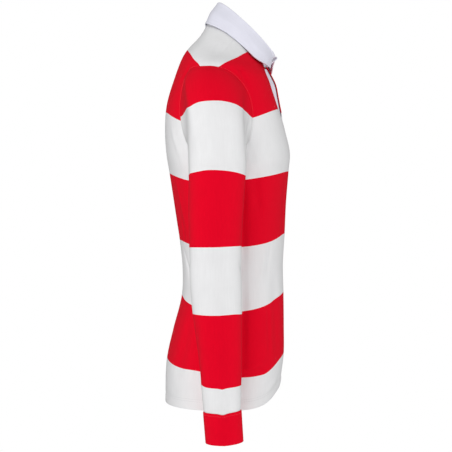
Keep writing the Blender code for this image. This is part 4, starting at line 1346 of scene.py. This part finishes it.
class SHIRT_OT_sleeves(bpy.types.Operator):
    """Make both sleeves of hooped jersey"""

    bl_idname = "shirt.sleeves"
    bl_label = "Sleeves"

    def execute(self, context):
        right = sleeve_cloth()
        for node, cloth in (("sleeve_right", right), ("sleeve_left", right.mirrored())):
            material = jersey_material(context)
            lay_cloth(node, [cloth], material, JERSEY_WALL, rounding=SEAM_RIM_ROUNDING)
        return {"FINISHED"}


class SHIRT_OT_cuffs(bpy.types.Operator):
    """Make both plain red cuffs"""

    bl_idname = "shirt.cuffs"
    bl_label = "Cuffs"

    def execute(self, context):
        material = cloth_material("red_jersey_cuff", (context.scene.shirt_finish.red,), JERSEY)
        right = cuff_cloth()
        HELD.update(cuff_right=right, cuff_left=right.mirrored())
        for node in ("cuff_right", "cuff_left"):
            lay_cloth(node, [HELD[node]], material, HEM_WALL)
        return {"FINISHED"}


class SHIRT_OT_collar(bpy.types.Operator):
    """Make the drill collar"""

    bl_idname = "shirt.collar"
    bl_label = "Collar"

    def execute(self, context):
        HELD["collar"] = collar_cloth()
        lay_cloth("collar", [HELD["collar"]], drill_material(context), DRILL_WALL)
        return {"FINISHED"}


class SHIRT_OT_placket(bpy.types.Operator):
    """Make the two drill strips behind the slit"""

    bl_idname = "shirt.placket"
    bl_label = "Placket"

    def execute(self, context):
        HELD["underlap"] = underlap_cloth()
        pieces = (
            ("placket_overlap", overlap_cloth(), ("white_drill", (0.026, 0.14), 0.0036)),
            ("placket_underlap", HELD["underlap"], ("white_drill", (0.042, 0.14), 0.005)),
        )
        for node, cloth, sheet in pieces:
            lay_cloth(node, [cloth], drill_material(context), STRIP_WALL)
        return {"FINISHED"}


class SHIRT_OT_buttons(bpy.types.Operator):
    """Make the three moulded rubber buttons"""

    bl_idname = "shirt.buttons"
    bl_label = "Buttons"

    def execute(self, context):
        material = rubber_material(context)
        for index, height in enumerate(BUTTON_HEIGHTS, 1):
            x = -slit_half_width(height, 1) - BUTTON_FROM_EDGE
            place, normal = placket_place(height, x, BUTTON_DEPTH + BUTTON_THICKNESS / 2, 1)
            item = make_button("button_%d_rubber" % index)
            turn = Vector(normal).to_track_quat("Z", "Y").to_matrix().to_4x4()
            item.data.transform(Matrix.Translation(Vector(place * MM)) @ turn)
            item.data.materials.append(material)
            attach(item, "root")
            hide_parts("button_%d" % index)
        return {"FINISHED"}


def make_button(name):
    """A round button with a raised rim and a dished middle, made flat at the origin."""
    bpy.ops.object.select_all(action="DESELECT")
    bpy.ops.mesh.primitive_cylinder_add(
        vertices=BUTTON_SIDES, radius=BUTTON_RADIUS * MM, depth=BUTTON_THICKNESS * MM, location=(0, 0, 0)
    )
    item = bpy.context.object
    item.name = name
    bpy.ops.object.mode_set(mode="EDIT")
    bm = bmesh.from_edit_mesh(item.data)
    for face in bm.faces:
        face.select_set(face.normal.z > FACES_UPWARD)
    bmesh.update_edit_mesh(item.data)
    bpy.ops.mesh.inset(thickness=BUTTON_RIM * MM)
    bpy.ops.mesh.inset(thickness=BUTTON_DISH_SLOPE * MM, depth=-BUTTON_DISH_DEPTH * MM)
    bpy.ops.object.mode_set(mode="OBJECT")
    round_edges(item, BUTTON_ROUNDING, 3, BUTTON_ROUNDED_ANGLE)
    apply_all(item)
    return item


class SHIRT_OT_stitching(bpy.types.Operator):
    """Sew the rows of stitches that show"""

    bl_idname = "shirt.stitching"
    bl_label = "Stitching"

    def execute(self, context):
        sewing = context.scene.shirt_sewing
        finish = context.scene.shirt_finish
        width = sewing.thread / MM
        # each thread is a little paler or duller than its cloth; the pale red is partly painted highlight,
        # the light caught along the armhole and cuff seams
        red = (finish.red[0], finish.red[1] * 2 + 0.01, finish.red[2] * 1.6, 1)
        pale_red_and_highlight = (finish.red[0] * 1.1, finish.red[1] + 0.06, finish.red[2] + 0.06, 1)
        dull_white = (*(0.75 * tone for tone in finish.white), 1)

        def sew(name, lines, material, thickness=width, lift=STITCH_LIFT):
            runs = [stitch_run(*line, sewing.stitch / MM, sewing.gap / MM) for line in lines]
            stitch_item("stitches_" + name, runs, thickness, lift, material)

        lines = []
        for name in ("front_right", "front_left", "back"):
            lines += [HELD[name].line_across(height, False) for height in HEM_STITCHES]
        sew("hem", lines, thread_material("thread_by_hoop", red, dull_white))

        # on the body beside each armhole; each edge is a panel's last or first one
        rows = np.arange(BODY_ROWS + 2, BODY_ROWS + ARMHOLE_ROWS + 1)
        edges = (("front_right", True), ("front_left", False), ("back", True), ("back", False))
        lines = [HELD[name].line_up(ARMHOLE_STITCH_FROM_EDGE, last, rows) for name, last in edges]
        sew("armholes", lines, thread_material("thread_armholes", pale_red_and_highlight, (*finish.white, 1)))

        cuffs = (HELD["cuff_right"], HELD["cuff_left"])
        lines = [cuff.line_across(CUFF_STITCH_BELOW_SEAM, True) for cuff in cuffs]
        sew("cuffs", lines, thread_material("thread_cuffs", pale_red_and_highlight))

        # along the collar's leaf and up its two ends
        white_thread = thread_material("thread_white", (*finish.drill, 1))
        collar = HELD["collar"]
        lines = [collar.line_up(COLLAR_STITCH_FROM_EDGE, True, collar_rows(collar))]
        first = collar.points.shape[1] // 2 + COLLAR_END_STITCH_INSET
        for last in (True, False):
            place = (COLLAR_STITCH_FROM_EDGE, last, first, COLLAR_END_STITCH_INSET)
            lines.append(collar.line_across(*place))
        sew("collar", lines, white_thread, width * COLLAR_THREAD_SHARE, COLLAR_STITCH_LIFT)

        rows = np.arange(STRIP_ROWS + 1)
        sew("placket", [HELD["underlap"].line_up(STRIP_STITCH_FROM_EDGE, False, rows)], white_thread)
        return {"FINISHED"}


def collar_rows(cloth):
    """The collar's stations between the stitches at its two ends."""
    reach = cloth.up[:, -1]
    inside = (reach > COLLAR_STITCH_FROM_EDGE) & (reach < reach[-1] - COLLAR_STITCH_FROM_EDGE)
    return np.nonzero(inside)[0]


# ---- stage, in metres ----
WHITE_LIGHT = (1, 1, 1, 1)
# shares of the floor's radius over which it fades
FLOOR_FADES_FROM = 0.45
FLOOR_FADES_TO = 0.98
# name and place of each light, and its share of the key's or the fill's power
LIGHTS = (
    ("key_high", (-2.22, 0.56, 1.29), "key", 1.0),
    ("key_level", (-2.29, 1.61, -0.32), "key", 0.42),
    ("before", (0.0, -2.8, -0.32), "fill", 1.0),
    ("behind", (0.92, 2.54, 0.4), "fill", 0.55),
)
LIGHTS_AIM = (0.0, 0.0, -0.32)
CAMERA_PLACE = (-2.1, -0.007, -0.341)
CAMERA_AIM = (0.0, -0.007, -0.304)
SENSOR_WIDTH = 36.0
FOCAL_LENGTH = 95.5752


def aim_at(data, place, aim):
    """An object of a light or a camera, turned towards its aim."""
    item = bpy.data.objects.new(data.name, data)
    bpy.context.scene.collection.objects.link(item)
    item.location = place
    item.rotation_euler = (Vector(aim) - Vector(place)).to_track_quat("-Z", "Y").to_euler()
    return item


class SHIRT_OT_stage(bpy.types.Operator):
    """Set up the floor, the light and the camera"""

    bl_idname = "shirt.stage"
    bl_label = "Stage"

    def execute(self, context):
        stage = context.scene.shirt_stage
        radius = stage.floor_radius
        bpy.ops.object.select_all(action="DESELECT")
        bpy.ops.mesh.primitive_circle_add(
            vertices=FLOOR_SIDES, radius=radius, fill_type="NGON", location=(0, 0, 0)
        )
        floor = context.object
        floor.name = "floor"
        floor.data.transform(Matrix.Translation((0, 0, -stage.floor_drop)))
        floor.data.materials.append(floor_material(radius))

        # the surround lights the shirt softly and is plain white where the camera sees it
        world = bpy.data.worlds.new("studio")
        context.scene.world = world
        world.use_nodes = True
        tree = world.node_tree
        lit = tree.nodes["Background"]
        give(tree, lit, {"Color": WHITE_LIGHT, "Strength": stage.surround})
        seen = add(tree, "ShaderNodeBackground", {"Color": WHITE_LIGHT, "Strength": 1.0})
        path = add(tree, "ShaderNodeLightPath").outputs["Is Camera Ray"]
        mix = add(tree, "ShaderNodeMixShader", {0: path, 1: lit.outputs[0], 2: seen.outputs[0]})
        tree.links.new(mix.outputs[0], tree.nodes["World Output"].inputs["Surface"])

        for name, place, kind, share in LIGHTS:
            data = bpy.data.lights.new(name, "AREA")
            data.shape = "SQUARE"
            data.size = stage.softness
            data.energy = getattr(stage, kind) * share
            aim_at(data, place, LIGHTS_AIM)

        data = bpy.data.cameras.new("camera")
        data.sensor_width = SENSOR_WIDTH
        data.lens = FOCAL_LENGTH
        context.scene.camera = aim_at(data, CAMERA_PLACE, CAMERA_AIM)
        context.scene.view_settings.view_transform = "Standard"
        context.scene.view_settings.look = "None"
        return {"FINISHED"}


class SHIRT_PT_panel(bpy.types.Panel):
    """Sizes, colours and pieces of the shirt"""

    bl_idname = "SHIRT_PT_panel"
    bl_label = "Rugby shirt"
    bl_space_type = "VIEW_3D"
    bl_region_type = "UI"
    bl_category = "Shirt"

    def draw(self, context):
        layout = self.layout
        for group in (context.scene.shirt_finish, context.scene.shirt_sewing, context.scene.shirt_stage):
            box = layout.box()
            for name in group.__annotations__:
                box.prop(group, name)
        for operator in OPERATORS:
            layout.operator(operator.bl_idname)


GROUPS = (ShirtFinish, ShirtSewing, ShirtStage)
OPERATORS = (
    SHIRT_OT_body,
    SHIRT_OT_sleeves,
    SHIRT_OT_cuffs,
    SHIRT_OT_collar,
    SHIRT_OT_placket,
    SHIRT_OT_buttons,
    SHIRT_OT_stitching,
    SHIRT_OT_stage,
)


def register():
    for item in (*GROUPS, *OPERATORS, SHIRT_PT_panel):
        bpy.utils.register_class(item)
    bpy.types.Scene.shirt_finish = bpy.props.PointerProperty(type=ShirtFinish)
    bpy.types.Scene.shirt_sewing = bpy.props.PointerProperty(type=ShirtSewing)
    bpy.types.Scene.shirt_stage = bpy.props.PointerProperty(type=ShirtStage)


def unregister():
    del bpy.types.Scene.shirt_stage
    del bpy.types.Scene.shirt_sewing
    del bpy.types.Scene.shirt_finish
    for item in (SHIRT_PT_panel, *reversed(OPERATORS), *reversed(GROUPS)):
        bpy.utils.unregister_class(item)


def main():
    register()
    bpy.ops.shirt.body()
    bpy.ops.shirt.sleeves()
    bpy.ops.shirt.cuffs()
    bpy.ops.shirt.collar()
    bpy.ops.shirt.placket()
    bpy.ops.shirt.buttons()
    bpy.ops.shirt.stitching()
    bpy.ops.shirt.stage()


if __name__ == "__main__":
    main()
